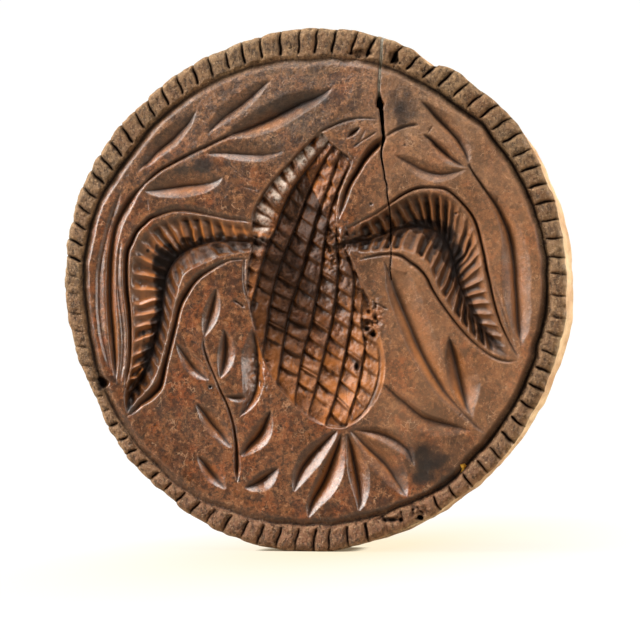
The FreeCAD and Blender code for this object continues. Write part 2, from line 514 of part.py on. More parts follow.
def crack_solids():
    """A slit right through near the rim, and a shallow one along the face."""
    rim_x, rim_z = CRACK[0][:2]
    outline = [(rim_x - CRACK_MOUTH, rim_z + CRACK_RUN_OUT),
               (rim_x + CRACK_MOUTH, rim_z + CRACK_RUN_OUT)]
    outline += [(x + width / 2.0, z) for x, z, width in CRACK]
    outline += [(x - width / 2.0, z) for x, z, width in reversed(CRACK)]
    face = facet([V(x, CRACK_FRONT, z) for x, z in outline])
    through = face.extrude(V(0, CRACK_THROUGH_LENGTH, 0)).common(
        Part.makeBox(CRACK_BOX, CRACK_BOX, CRACK_BOX,
                     V(0, CRACK_FRONT - 1, CRACK_THROUGH_FROM)))
    return [through, face.extrude(V(0, CRACK_FACE_LENGTH, 0))]


def cutter(name, solids):
    """Overlapping cutters joined into one document object."""
    bad = [k for k, solid in enumerate(solids) if not solid.isValid()]
    if bad:
        raise RuntimeError("%s: cutters not valid: %s" % (name, bad))
    made = doc.addObject("Part::Feature", name)
    made.Shape = solids[0].fuse(solids[1:])
    return made


def build_disc():
    disc = build_blank()
    for name, tool in (
        ("WithSocket", socket_cutter()),
        ("WithRest", rest_cutter()),
        ("WithField", field_cutter()),
        ("WithRing", ring_cutter()),
        ("WithLeaves", cutter("LeafStrokes", leaf_solids())),
        ("WithWings", cutter("WingStrokes", wing_solids())),
        ("WithBreast", cutter("BreastStrokes", breast_solids())),
        ("WithNotches", cutter("NotchStrokes", notch_solids())),
        ("StampDisc", cutter("DryingCrack", crack_solids())),
    ):
        disc = combine("Part::Cut", name, disc, tool)
    disc.Label = "stamp_disc"
    return disc


# ------------------------------------------------------------------- handle
# Half profile: (point, alias of its radius or None on the axis, alias of its y,
# arc to the next point or None). An arc is (alias of radius, centre on the left).
PROFILE = [
    ("tenon_end_centre", None, "tenon_end", None),
    ("tenon_edge", "tenon_radius", "tenon_end", None),
    ("tenon_root", "tenon_radius", "shoulder_at", None),
    ("shoulder_face", "shoulder_radius", "shoulder_at", None),
    ("shoulder_back", "shoulder_radius", "shoulder_end", ("cove_radius", False)),
    ("neck", "neck_radius", "neck_at", None),
    ("swell", "swell_radius", "swell_at", ("grip_curve", True)),
    ("grip", "grip_radius", "grip_at", ("grip_radius", True)),
    ("tip", None, "handle_end", None),
]
# Kerf corners: (side, alias of half width, alias of y)
KERF_CORNERS = [
    (-1, "kerf_mouth", "kerf_start"),
    (1, "kerf_mouth", "kerf_start"),
    (1, "kerf_narrow", "kerf_end"),
    (-1, "kerf_narrow", "kerf_end"),
]


def sketch_on_xy(body, name):
    sketch = body.newObject("Sketcher::SketchObject", name)
    plane = next(f for f in body.Origin.OriginFeatures if f.Role == "XY_Plane")
    sketch.AttachmentSupport = (plane, [""])
    sketch.MapMode = "FlatFace"
    return sketch


def bind(sketch, name, expression, *constraint):
    """A named constraint that follows the spreadsheet."""
    index = sketch.addConstraint(Sketcher.Constraint(*constraint))
    sketch.renameConstraint(index, name)
    sketch.setExpression("Constraints." + name, expression)


def arc_between(start, end, radius, centre_left):
    """The short arc from start to end, and its vertex numbers in that order;
    centre_left says which side its centre is."""
    (ax, ay), (bx, by) = start, end
    chord = math.hypot(bx - ax, by - ay)
    offset = math.sqrt(max(radius * radius - chord * chord / 4.0, 0.0))
    if not centre_left:
        offset = -offset
    cx = (ax + bx) / 2.0 - (by - ay) / chord * offset
    cy = (ay + by) / 2.0 + (bx - ax) / chord * offset
    turn_a = math.atan2(ay - cy, ax - cx)
    turn_b = math.atan2(by - cy, bx - cx)
    circle = Part.Circle(V(cx, cy, 0), V(0, 0, 1), radius)
    # arcs run counter-clockwise, so one with its centre on the right is reversed
    first, last, ends = (turn_a, turn_b, (1, 2)) if centre_left else (turn_b, turn_a, (2, 1))
    if last <= first:
        last += 2 * math.pi
    return Part.ArcOfCircle(circle, first, last), ends


def draw_profile(sketch):
    places = [(SIZE[radius] if radius else 0.0, SIZE[along])
              for name, radius, along, arc in PROFILE]
    edges = []                      # (geometry index, (start vertex, end vertex))
    for k, (name, radius, along, arc) in enumerate(PROFILE):
        start, end = places[k], places[(k + 1) % len(places)]
        if arc:
            geometry, ends = arc_between(start, end, SIZE[arc[0]], arc[1])
        else:
            geometry, ends = Part.LineSegment(V(*start, 0), V(*end, 0)), (1, 2)
        edges.append((sketch.addGeometry(geometry, False), ends))
    for (edge, ends), (following, next_ends) in zip(edges, edges[1:] + edges[:1]):
        sketch.addConstraint(
            Sketcher.Constraint("Coincident", edge, ends[1], following, next_ends[0]))
    for (name, radius, along, arc), (edge, ends), (x, y) in zip(PROFILE, edges, places):
        if radius:
            bind(sketch, name + "_out", "Sizes." + radius,
                 "DistanceX", -1, 1, edge, ends[0], x)
        else:
            sketch.addConstraint(Sketcher.Constraint("PointOnObject", edge, ends[0], -2))
        bind(sketch, name + "_along", "Sizes." + along,
             "DistanceY", -1, 1, edge, ends[0], y)
    for (name, radius, along, arc), (edge, ends) in zip(PROFILE, edges):
        if arc:
            bind(sketch, name + "_curve", "Sizes." + arc[0], "Radius", edge, SIZE[arc[0]])


def draw_kerf(sketch):
    corners = [(side * SIZE[half], SIZE[along]) for side, half, along in KERF_CORNERS]
    lines = [sketch.addGeometry(Part.LineSegment(V(*start, 0), V(*end, 0)), False)
             for start, end in zip(corners, corners[1:] + corners[:1])]
    for line, following in zip(lines, lines[1:] + lines[:1]):
        sketch.addConstraint(Sketcher.Constraint("Coincident", line, 2, following, 1))
    for k, (side, half, along) in enumerate(KERF_CORNERS):
        sign = "-" if side < 0 else ""
        bind(sketch, "corner%dX" % k, sign + "Sizes." + half,
             "DistanceX", -1, 1, lines[k], 1, corners[k][0])
        bind(sketch, "corner%dY" % k, "Sizes." + along,
             "DistanceY", -1, 1, lines[k], 1, corners[k][1])


def build_handle():
    """Turned in one piece: tenon, shoulder, cove and a swelling round-ended
    grip, with a saw kerf in the tenon."""
    body = doc.addObject("PartDesign::Body", "Handle")
    body.Label = "handle"
    profile = sketch_on_xy(body, "HandleProfile")
    draw_profile(profile)
    turned = body.newObject("PartDesign::Revolution", "Turned")
    turned.Profile = profile
    turned.ReferenceAxis = (profile, ["V_Axis"])
    turned.Angle = 360.0

    kerf_sketch = sketch_on_xy(body, "KerfSketch")
    draw_kerf(kerf_sketch)
    kerf = body.newObject("PartDesign::Pocket", "Kerf")
    kerf.Profile = kerf_sketch
    kerf.Type = "Length"
    kerf.SideType = "Symmetric"
    kerf.setExpression("Length", "Sizes.kerf_cut_length")
    body.Tip = kerf
    return body


# -------------------------------------------------------------------- wedge
def build_wedge():
    """Thin hardwood wedge that spreads the tenon inside the blind socket."""
    taper = add("Part::Wedge", "WedgeTaper",
                Xmin="-Sizes.wedge_wide", Xmax="Sizes.wedge_wide",
                X2min="-Sizes.wedge_narrow", X2max="Sizes.wedge_narrow",
                Ymin="0", Ymax="Sizes.wedge_length",
                Zmin="-Sizes.wedge_half_width", Zmax="Sizes.wedge_half_width",
                Z2min="-Sizes.wedge_half_width", Z2max="Sizes.wedge_half_width")
    taper.setExpression("Placement.Base.y", "Sizes.wedge_start")
    tenon_round = add("Part::Cylinder", "WedgeRound",
                      Radius="Sizes.tenon_radius - Sizes.wedge_side_gap",
                      Height="Sizes.wedge_length + 2 * Sizes.overrun")
    along_y(tenon_round, "Sizes.wedge_start - Sizes.overrun")
    wedge = doc.addObject("Part::Common", "TenonWedge")
    wedge.Base = taper
    wedge.Tool = tenon_round
    wedge.Label = "tenon_wedge"
    return wedge


# ----------------------------------------- stand on the ground and export
pieces = [build_disc(), build_handle(), build_wedge()]
for piece in pieces:
    piece.setExpression("Placement.Base.y", "-Sizes.handle_end / 2")
    piece.setExpression("Placement.Base.z", "-Sizes.rest_height")

doc.recompute()
for item in doc.Objects:
    if "Invalid" in item.State or "Error" in item.State:
        raise RuntimeError("%s is in state %s: %s" % (
            item.Name, item.State, item.getStatusString()))
for piece in pieces:
    shape = piece.Shape
    if shape.isNull() or not shape.isValid():
        raise RuntimeError("%s has no valid shape" % piece.Label)
    if len(shape.Solids) != 1:
        raise RuntimeError("%s has %d solids" % (piece.Label, len(shape.Solids)))
    shape.exportStep("parts/%s.step" % piece.Label)
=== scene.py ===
"""A carved wooden butter stamp standing on its rim, its carved face towards -Y.

The shared frame is in metres with +Z up. The disc is worked out in millimetres about
the middle of its face: x to the right, y into the wood, z up. The carving is a field
of depths over that face; it becomes a mesh, and maps made from it steer the colours.
"""
import math
import bpy
import numpy as np
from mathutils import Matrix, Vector


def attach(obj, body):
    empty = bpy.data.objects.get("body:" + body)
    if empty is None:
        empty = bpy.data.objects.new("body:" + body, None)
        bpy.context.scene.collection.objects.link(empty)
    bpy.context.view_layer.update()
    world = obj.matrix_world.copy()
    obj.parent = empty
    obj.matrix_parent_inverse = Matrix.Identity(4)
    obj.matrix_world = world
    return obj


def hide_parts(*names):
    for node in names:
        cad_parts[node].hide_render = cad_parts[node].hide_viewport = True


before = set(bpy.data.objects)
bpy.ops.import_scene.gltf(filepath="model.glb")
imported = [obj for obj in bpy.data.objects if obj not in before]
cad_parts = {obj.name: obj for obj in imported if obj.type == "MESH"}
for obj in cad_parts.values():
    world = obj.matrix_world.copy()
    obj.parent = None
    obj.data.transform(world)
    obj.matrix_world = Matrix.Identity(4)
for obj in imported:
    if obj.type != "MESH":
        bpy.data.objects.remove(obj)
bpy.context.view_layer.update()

MM = 0.001
HALF_W, HALF_H = 55.0, 57.0          # the oval face
REST = -56.75                        # the rim is worn flat below this height
PLACE = (0.0, -0.0426, 0.05675)      # middle of the face in the shared frame, metres

# ------------------------------------------------------------------ the design, in mm
# name: (points (x, z), reach left, reach right, depth, how the ends run out)
# Left and right are seen travelling along the line.
GOUGES = {
    "stem_l": ([
     (-10.81, 36.41), (-13.49, 35.37), (-15.95, 34.43), (-18.41, 33.49), (-21.33, 32.23),
     (-23.57, 31.18), (-25.82, 30.23), (-28.75, 28.86), (-31.45, 27.48), (-33.71, 26.31),
     (-35.97, 24.58), (-37.56, 23.07), (-38.91, 21.78)], 0.649, 0.54, 0.7, "line"),
    "stem_l2": ([
     (-37.56, 23.07), (-38.91, 21.78), (-40.5, 19.82), (-41.86, 17.86), (-43.22, 15.46),
     (-44.01, 13.28), (-44.46, 11.09), (-45.02, 6.7), (-45.13, 2.31), (-45.12, -2.08),
     (-44.77, -6.47), (-44.31, -10.86), (-43.96, -15.24), (-43.72, -20.28)],
     [0.54, 0.757, 1.297, 1.513, 1.513, 1.513, 1.513, 1.513, 1.513, 1.513, 1.297, 1.081, 0.865,
      0.216],
     [0.432, 0.54, 0.865, 0.865, 0.865, 0.865, 0.865, 0.865, 0.865, 0.865, 1.081, 1.297, 1.081,
      0.216],
     [0.5, 0.7, 1.1, 1.2, 1.3, 1.3, 1.3, 1.35, 1.35, 1.3, 1.3, 1.3, 1.1, 0.1], "raw"),
    "leaf_l1": ([
     (-38.92, 25.94), (-37.79, 27.24), (-36.43, 28.32), (-34.85, 30.05), (-33.04, 31.55),
     (-31.01, 33.05), (-29.21, 34.78), (-27.63, 36.28), (-26.51, 37.79), (-25.38, 39.41)],
     2.811, 1.73, 1.35, "leaf"),
    "leaf_l2": ([
     (-23.35, 33.8), (-21.78, 35.52), (-19.99, 37.23), (-17.97, 38.73), (-15.73, 40.21),
     (-13.5, 41.91), (-11.71, 43.4), (-10.15, 44.68), (-8.59, 45.63)], 2.594, 1.73, 1.2, "leaf"),
    "leaf_l3": ([
     (-19.76, 32.86), (-17.52, 33.92), (-15.06, 34.74), (-12.6, 35.68), (-10.37, 36.62),
     (-8.14, 37.56), (-6.13, 38.61), (-4.13, 39.55), (-1.91, 40.6), (0.31, 41.31),
     (2.52, 42.25), (4.96, 43.72)], 3.243, 2.811, 2.0, "leaf"),
    "leaf_l4": ([
     (-24.02, 29.66), (-20.65, 29.93), (-17.29, 29.77), (-13.94, 29.49), (-11.26, 29.34),
     (-8.58, 29.52), (-5.91, 30.02)], 3.243, 1.73, 1.1, "leaf"),
    "leaf_l5": ([
     (-37.33, 21.75), (-34.16, 22.04), (-30.77, 22.54), (-27.62, 22.93), (-24.69, 23.11),
     (-21.99, 23.51), (-19.53, 24.45)], 4.324, 2.594, 1.7, "leaf"),
    "vein_l": ([(-21.55, 29.18), (-19.53, 28.49), (-17.74, 26.94), (-15.5, 25.16),
     (-12.37, 23.37)], 0.281, 0.281, 0.25, "line"),
    "scratch_l": ([(-15.27, 22.54), (-13.48, 22.08), (-11.7, 21.51)], 0.259, 0.259, 0.3, "line"),
    "hatch1": ([(-36.87, 20.43), (-36.64, 19.11), (-36.41, 17.14)], 0.216, 0.216, 0.25, "line"),
    "line_a": ([
     (-42.54, 21.61), (-43.45, 19.64), (-44.47, 16.58), (-45.49, 13.29), (-46.39, 10.01),
     (-47.07, 6.72), (-47.52, 3.43), (-47.62, 0.13), (-47.62, -3.16), (-47.38, -6.45),
     (-46.81, -10.41), (-45.89, -14.14), (-44.98, -17.87)], 1.297, 0.865, 0.5, "line"),
    "line_c2": ([
     (-42.53, 11.94), (-42.98, 8.88), (-43.2, 6.24), (-43.31, 2.3), (-42.96, -2.09),
     (-42.38, -6.48), (-42.04, -10.87), (-42.14, -14.81), (-42.48, -18.09), (-42.81, -20.94)],
     0.735, 0.562, 0.45, "line"),
    "wing_l_out": ([
     (-13.03, 14.67), (-15.71, 15.14), (-18.4, 15.39), (-21.54, 16.08), (-24.68, 16.77),
     (-27.38, 17.24), (-30.09, 17.39), (-32.57, 16.87), (-34.38, 16.24), (-35.96, 15.6),
     (-37.54, 14.19), (-38.9, 12.89), (-40.14, 10.38), (-40.98, 8.42), (-41.25, 4.91),
     (-41.1, 0.09), (-40.62, -4.3), (-40.36, -8.68), (-40.36, -13.06), (-40.6, -16.35),
     (-41.12, -18.75), (-41.68, -21.38)], 0.432,
     [0.432, 0.649, 0.865, 1.081, 1.297, 1.405, 1.513, 1.297, 1.081, 0.865, 0.865, 0.865, 0.973,
      1.081, 1.081, 1.081, 0.973, 0.822, 0.757, 0.757, 0.649, 0.216],
     [0.3, 0.5, 0.6, 0.7, 0.8, 0.8, 0.8, 0.8, 0.8, 0.9, 1.0, 1.1, 1.2, 1.4, 1.5, 1.5, 1.4, 1.2,
      1.1, 1.0, 0.8, 0.2], "raw"),
    "wing_l_in": ([
     (-14.14, 6.63), (-17.5, 6.44), (-19.96, 5.6), (-22.43, 4.31), (-24.67, 2.91),
     (-26.24, 1.29), (-27.59, -0.67), (-28.71, -2.63), (-29.5, -4.8), (-30.06, -7.2),
     (-30.62, -9.38), (-31.18, -11.57), (-31.74, -13.75), (-32.3, -15.93), (-32.8, -18.11),
     (-33.2, -20.08), (-33.87, -21.6), (-35.9, -23.46), (-37.94, -24.88), (-39.74, -26.63),
     (-41.33, -27.72)],
     [0.216, 0.324, 0.432, 0.54, 0.54, 0.54, 0.54, 0.54, 0.54, 0.54, 0.54, 0.54, 0.54, 0.54, 0.54,
      0.54, 0.649, 0.865, 0.649, 0.432, 0.216],
     [0.216, 0.432, 0.649, 0.865, 1.081, 1.081, 1.189, 1.297, 1.297, 1.297, 1.189, 1.081, 1.081,
      1.081, 1.081, 1.297, 1.73, 1.73, 1.081, 0.649, 0.216],
     [0.2, 0.4, 0.5, 0.7, 0.9, 1.0, 1.2, 1.3, 1.3, 1.3, 1.3, 1.3, 1.3, 1.3, 1.4, 1.6, 1.8, 1.5,
      1.0, 0.5, 0.1], "raw"),
    "wing_l": ([
     (-9.46, 10.28), (-11.69, 10.3), (-14.15, 10.44), (-16.61, 10.57), (-19.07, 10.6),
     (-21.76, 10.52), (-24.23, 10.11), (-26.48, 9.37), (-28.28, 8.51), (-30.08, 7.22),
     (-31.43, 5.48), (-32.44, 3.3), (-33.0, 0.46), (-33.34, -2.16), (-33.67, -5.44),
     (-34.34, -8.71), (-35.24, -11.99), (-36.14, -14.83), (-37.27, -17.88), (-38.62, -20.51),
     (-40.2, -22.69), (-40.88, -24.88), (-41.1, -26.63)],
     [1.513, 1.946, 2.378, 2.811, 3.243, 3.892, 4.324, 4.324, 4.324, 4.108, 3.892, 3.675, 3.459,
      3.243, 3.027, 2.811, 2.811, 2.811, 2.811, 2.811, 2.162, 1.297, 0.432],
     [1.73, 2.811, 3.675, 4.324, 4.973, 5.621, 6.486, 7.351, 8.216, 8.864, 8.864, 8.216, 7.675,
      7.135, 6.486, 5.837, 4.973, 4.324, 3.459, 2.594, 1.73, 0.865, 0.216],
     [0.4, 0.9, 1.3, 1.6, 1.9, 2.2, 2.6, 3.0, 3.3, 3.5, 3.6, 3.6, 3.5, 3.4, 3.2, 3.0, 2.8, 2.6,
      2.4, 2.2, 1.8, 1.2, 0.3], "raw"),
    "wing_r": ([
     (5.39, 9.26), (8.7, 9.77), (12.01, 10.49), (15.3, 11.42), (17.93, 12.37), (20.78, 13.2),
     (24.06, 13.37), (27.11, 12.59), (29.29, 10.95), (30.59, 8.57), (31.35, 6.2), (31.89, 3.84),
     (32.54, 1.47), (33.41, -0.89), (34.49, -3.26), (35.9, -5.84), (37.52, -8.41),
     (39.24, -10.78), (40.97, -12.81), (42.91, -14.42)],
     [1.73, 3.027, 3.892, 4.756, 5.405, 6.054, 7.351, 7.783, 7.351, 6.918, 6.486, 6.054, 5.837,
      5.405, 4.973, 4.54, 3.892, 3.027, 1.946, 0.649],
     [1.297, 1.946, 2.811, 3.675, 4.54, 5.621, 6.486, 7.135, 7.135, 6.486, 5.621, 5.189, 4.756,
      4.324, 3.892, 3.459, 3.027, 2.594, 1.73, 0.649],
     [0.6, 1.2, 1.8, 2.3, 2.7, 3.0, 3.3, 3.5, 3.6, 3.6, 3.5, 3.3, 3.1, 2.9, 2.6, 2.3, 2.0, 1.6,
      1.0, 0.3], "raw"),
    "wing_r_out": ([
     (8.26, 13.12), (9.81, 13.86), (11.57, 14.71), (13.77, 15.76), (15.96, 17.14),
     (17.72, 18.41), (19.69, 19.78), (21.88, 20.94), (24.07, 21.56), (26.9, 21.58),
     (29.52, 21.26), (31.04, 20.38), (32.78, 18.86), (34.51, 17.01), (35.92, 14.95),
     (36.89, 12.37), (37.54, 9.58), (38.19, 6.78), (38.72, 3.78), (39.37, 0.99),
     (39.9, -1.58), (40.55, -4.15), (41.41, -6.94), (42.48, -9.51), (43.56, -11.65),
     (44.42, -13.36), (45.28, -15.07)], 0.476,
     [0.324, 0.324, 0.324, 0.389, 0.432, 0.432, 0.432, 0.432, 0.432, 0.432, 0.54, 0.649, 0.865,
      0.973, 1.081, 1.081, 1.081, 1.081, 1.081, 1.081, 0.973, 0.973, 0.865, 0.865, 0.757, 0.54,
      0.216],
     [0.3, 0.4, 0.5, 0.6, 0.7, 0.8, 0.8, 0.8, 0.7, 0.6, 0.7, 0.8, 1.0, 1.2, 1.3, 1.3, 1.3, 1.3,
      1.3, 1.2, 1.2, 1.2, 1.1, 1.0, 0.8, 0.5, 0.1], "raw"),
    "wing_r_in": ([
     (10.9, 6.18), (13.54, 6.91), (15.74, 7.32), (17.93, 7.41), (20.12, 6.96), (22.09, 5.65),
     (24.05, 4.23), (25.58, 2.39), (26.88, -0.2), (28.19, -2.36), (29.71, -4.51), (31.66, -7.1),
     (34.05, -9.9), (36.0, -11.83), (38.37, -13.77), (40.75, -15.16), (43.12, -15.81),
     (45.06, -15.71)], 0.389,
     [0.216, 0.432, 0.54, 0.649, 0.865, 0.973, 0.973, 0.973, 0.865, 0.865, 0.865, 0.865, 0.865,
      0.757, 0.649, 0.649, 0.54, 0.216],
     [0.2, 0.5, 0.6, 0.7, 0.8, 0.9, 1.0, 1.0, 1.0, 0.9, 0.9, 0.9, 0.9, 0.8, 0.7, 0.6, 0.4, 0.1],
     "raw"),
    "line_r2": ([
     (34.74, 26.13), (35.82, 24.29), (37.56, 21.8), (39.29, 19.41), (40.8, 17.25),
     (42.09, 14.67), (43.17, 12.08), (43.92, 9.3), (44.34, 6.51), (44.66, 3.73), (44.83, 0.52),
     (45.04, -2.26), (45.19, -5.04), (45.29, -7.39), (45.5, -9.74), (45.93, -12.09)],
     [0.324, 0.432, 0.649, 0.865, 1.081, 1.297, 1.513, 1.73, 1.946, 1.946, 1.946, 1.73, 1.73,
      1.513, 1.297, 0.432],
     [0.259, 0.324, 0.54, 0.865, 1.081, 1.297, 1.73, 2.162, 2.811, 3.027, 3.027, 3.027, 2.594,
      2.162, 1.73, 0.432],
     [0.5, 0.7, 0.9, 1.1, 1.3, 1.5, 1.7, 1.9, 2.0, 2.0, 2.0, 1.9, 1.8, 1.6, 1.2, 0.2], "raw"),
    "line_r3": ([
     (39.05, 4.21), (39.58, 1.63), (40.55, -0.73), (41.42, -3.09), (42.27, -5.66),
     (43.13, -8.23), (43.99, -10.8), (44.85, -13.58)], 0.54, 0.649, 0.5, "line"),
    "leaf_r7": ([
     (24.08, 40.41), (25.83, 38.76), (27.57, 36.79), (29.1, 35.26), (30.62, 33.72),
     (32.14, 31.97), (33.23, 30.24), (34.09, 28.5), (34.74, 26.56)], 2.594, 1.73, 1.35, "leaf"),
    "leaf_r8": ([
     (24.51, 33.18), (26.26, 32.08), (27.79, 30.54), (29.31, 29.23), (30.83, 27.91),
     (32.35, 26.81), (34.31, 25.71)], 1.297, 1.73, 1.1, "leaf"),
    "leaf_r9": ([
     (18.38, 28.76), (20.35, 27.86), (22.32, 26.86), (24.29, 25.75), (26.25, 24.97),
     (28.65, 24.5), (31.26, 24.79), (34.31, 25.49)], 1.946, 1.946, 0.85, "leaf"),
    "beak_branch": ([(16.19, 32.46), (17.95, 33.62), (19.7, 34.45), (21.89, 35.06),
     (24.08, 35.24)], 0.432, 0.432, 0.5, "line"),
    "twig1": ([(25.82, 33.38), (26.7, 34.65), (27.14, 35.29)], 0.259, 0.259, 0.3, "line"),
    "leaf_g1": ([
     (16.18, 5.7), (17.05, 3.75), (17.93, 1.37), (18.91, -1.22), (20.0, -3.81), (21.1, -6.4),
     (22.19, -8.98), (23.28, -11.57), (24.47, -14.04), (25.67, -16.3), (26.98, -18.56),
     (28.39, -20.81), (29.91, -22.96), (31.86, -25.1), (34.03, -27.45), (36.19, -29.59),
     (38.35, -31.29)],
     [0.216, 1.297, 3.892, 4.108, 4.108, 4.0, 3.892, 3.784, 3.675, 3.459, 3.027, 2.594, 2.162,
      1.73, 1.297, 0.649, 0.216],
     [0.216, 0.649, 1.513, 1.946, 2.162, 2.27, 2.378, 2.378, 2.378, 2.378, 2.162, 2.054, 1.73,
      1.297, 0.865, 0.649, 0.216],
     [0.2, 0.6, 1.2, 1.7, 2.0, 2.1, 2.1, 2.1, 2.0, 1.9, 1.8, 1.6, 1.3, 1.0, 0.7, 0.4, 0.1],
     "raw"),
    "leaf_g2": ([
     (30.36, -10.52), (30.9, -12.46), (31.55, -14.82), (32.09, -17.17), (32.63, -19.53),
     (33.17, -21.67), (33.71, -23.6), (34.25, -25.53), (35.54, -28.09)],
     [0.216, 1.081, 1.946, 2.811, 3.675, 3.675, 3.027, 1.946, 0.216],
     [0.216, 1.297, 2.162, 2.811, 3.027, 2.811, 2.378, 1.73, 0.216],
     [0.2, 1.0, 1.7, 2.1, 2.4, 2.4, 2.1, 1.4, 0.2], "raw"),
    "leaf_g2b": ([(34.25, -23.6), (33.92, -25.31), (32.51, -27.67)], 0.259, 0.259, 0.9, "line"),
    "leaf_g3": ([
     (15.29, -20.15), (17.48, -21.76), (19.23, -23.38), (21.19, -24.88), (22.94, -26.39),
     (24.9, -27.78), (27.08, -28.53), (29.68, -29.17), (32.29, -29.81), (35.32, -30.66)],
     1.081, 3.027, 1.05, "leaf"),
    "petal1": ([
     (6.05, -30.49), (4.29, -32.0), (2.52, -33.74), (0.75, -35.47), (-0.57, -36.98),
     (-1.68, -38.5), (-2.56, -40.23), (-3.23, -41.96), (-3.78, -44.13)],
     2.162, 2.162, 1.7, "leaf"),
    "petal2": ([
     (6.82, -31.14), (6.05, -33.73), (5.17, -36.1), (4.29, -38.48), (3.4, -40.64),
     (2.3, -42.8), (0.98, -44.96), (-0.02, -47.13), (-0.57, -49.72)], 2.594, 1.946, 2.1, "leaf"),
    "petal3": ([
     (8.03, -31.13), (8.69, -33.72), (9.24, -36.3), (9.75, -38.89), (10.23, -41.47),
     (10.62, -43.83), (10.78, -45.98), (10.56, -48.35)], 2.378, 1.73, 1.8, "leaf"),
    "petal4": ([
     (8.69, -30.49), (10.89, -32.85), (12.87, -34.78), (14.84, -36.5), (16.59, -38.21),
     (17.9, -39.93), (19.0, -41.64), (20.09, -43.35), (21.18, -45.06)],
     2.811, 2.811, 1.7, "leaf"),
    "petal5": ([
     (9.13, -30.38), (12.21, -30.7), (14.84, -31.12), (17.47, -32.08), (19.66, -33.26),
     (21.4, -34.76), (22.17, -36.47), (22.82, -38.4)], 1.513, 1.73, 1.2, "leaf"),
    "sprig_stem": ([
     (-23.98, -10.29), (-23.87, -12.25), (-23.31, -14.43), (-22.41, -16.72), (-21.28, -19.22),
     (-20.16, -21.84), (-18.82, -24.45), (-17.92, -26.84), (-17.25, -29.23), (-16.8, -31.61),
     (-16.46, -34.22), (-16.35, -37.04), (-16.35, -39.21), (-16.35, -41.81)],
     [0.216, 0.432, 0.432, 0.432, 0.432, 0.432, 0.432, 0.432, 0.432, 0.432, 0.54, 0.649, 0.649,
      0.216],
     [0.216, 0.432, 0.432, 0.432, 0.432, 0.432, 0.432, 0.432, 0.432, 0.432, 0.54, 0.692, 0.692,
      0.216],
     [0.3, 0.6, 0.7, 0.7, 0.7, 0.7, 0.7, 0.7, 0.7, 0.8, 0.9, 1.0, 1.0, 0.2], "raw"),
    "sprig1": ([
     (-23.76, -10.51), (-23.42, -8.76), (-22.98, -7.02), (-22.42, -5.28), (-21.97, -3.54),
     (-21.52, -1.8), (-20.96, 0.37)], 1.73, 1.513, 1.4, "leaf"),
    "sprig2": ([
     (-20.28, -19.66), (-19.72, -17.49), (-19.27, -15.31), (-19.05, -13.14), (-19.05, -10.96),
     (-19.28, -8.57)], 1.73, 1.73, 1.6, "leaf"),
    "sprig3": ([
     (-12.91, -8.16), (-12.46, -10.55), (-11.95, -13.16), (-11.72, -15.77), (-11.68, -18.37),
     (-11.9, -20.76), (-12.45, -22.71), (-13.35, -24.45), (-14.35, -25.97), (-15.91, -27.7)],
     [0.216, 1.513, 1.513, 1.513, 1.513, 1.513, 1.405, 1.297, 0.865, 0.216],
     [0.216, 2.162, 3.459, 3.892, 3.892, 3.675, 3.027, 1.946, 1.081, 0.216],
     [0.2, 1.4, 2.1, 2.5, 2.6, 2.5, 2.2, 1.7, 1.0, 0.2], "raw"),
    "sprig3b": ([(-19.27, -23.14), (-17.25, -23.47), (-15.24, -23.53), (-13.01, -23.15)],
     0.865, 0.865, 0.8, "leaf"),
    "sprig4": ([(-30.05, -11.79), (-28.47, -14.09), (-26.9, -16.27), (-25.1, -18.13),
     (-22.63, -19.87)], 1.73, 1.73, 1.3, "leaf"),
    "sprig5": ([
     (-25.65, -24.66), (-23.74, -27.17), (-21.95, -29.45), (-20.15, -31.4), (-18.59, -33.36),
     (-17.47, -34.66)], 1.946, 1.946, 1.5, "leaf"),
    "sprig6": ([
     (-25.3, -36.2), (-23.96, -37.83), (-22.61, -39.56), (-21.26, -41.08), (-20.14, -42.27),
     (-18.8, -43.56)], 1.73, 1.73, 1.35, "leaf"),
    "sprig7": ([
     (-8.78, -26.18), (-9.78, -28.35), (-10.78, -30.52), (-12.0, -32.26), (-13.45, -33.78),
     (-14.57, -35.08), (-15.68, -36.39)], 1.946, 1.946, 1.8, "leaf"),
    "sprig8": ([(-7.0, -38.63), (-9.0, -40.04), (-10.78, -41.35), (-12.56, -42.34),
     (-14.78, -43.21)], 1.946, 1.73, 1.45, "leaf"),
    "head_top": ([
     (0.53, 32.73), (2.52, 34.22), (4.51, 35.16), (6.5, 35.99), (8.71, 36.6), (11.35, 36.87),
     (15.09, 36.59)], 0.389, 0.389, 0.5, "line"),
    "eye": ([(7.83, 32.39), (8.82, 33.35), (9.81, 34.09), (11.13, 34.93)],
     0.692, 0.692, 0.9, "leaf"),
    "eye2": ([(10.03, 31.49), (11.13, 32.44), (11.79, 33.73), (12.12, 34.7)],
     0.259, 0.259, 0.35, "line"),
    "beak": ([(9.15, 30.42), (10.91, 31.69), (12.67, 32.74), (14.87, 34.0)],
     0.303, 0.303, 0.45, "line"),
    "throat": ([
     (16.19, 32.46), (15.2, 31.29), (13.77, 29.91), (12.45, 28.42), (11.46, 27.03),
     (10.47, 25.42), (9.37, 23.71), (8.27, 21.78), (7.49, 19.62), (6.83, 17.47), (6.17, 15.09)],
     [0.54, 0.865, 0.865, 0.757, 0.649, 0.649, 0.649, 0.757, 0.865, 0.649, 0.216],
     [0.649, 1.297, 1.405, 1.189, 0.973, 0.865, 0.865, 0.865, 0.865, 0.649, 0.216],
     [1.0, 1.8, 2.0, 1.8, 1.6, 1.5, 1.4, 1.3, 1.1, 0.8, 0.3], "raw"),
    "body_left": ([
     (0.53, 32.73), (-2.35, 29.74), (-4.57, 27.39), (-6.8, 25.25), (-8.58, 23.21),
     (-10.14, 21.16), (-11.58, 18.79), (-12.59, 16.62), (-13.26, 14.24)],
     0.389, 0.346, 0.9, "line"),
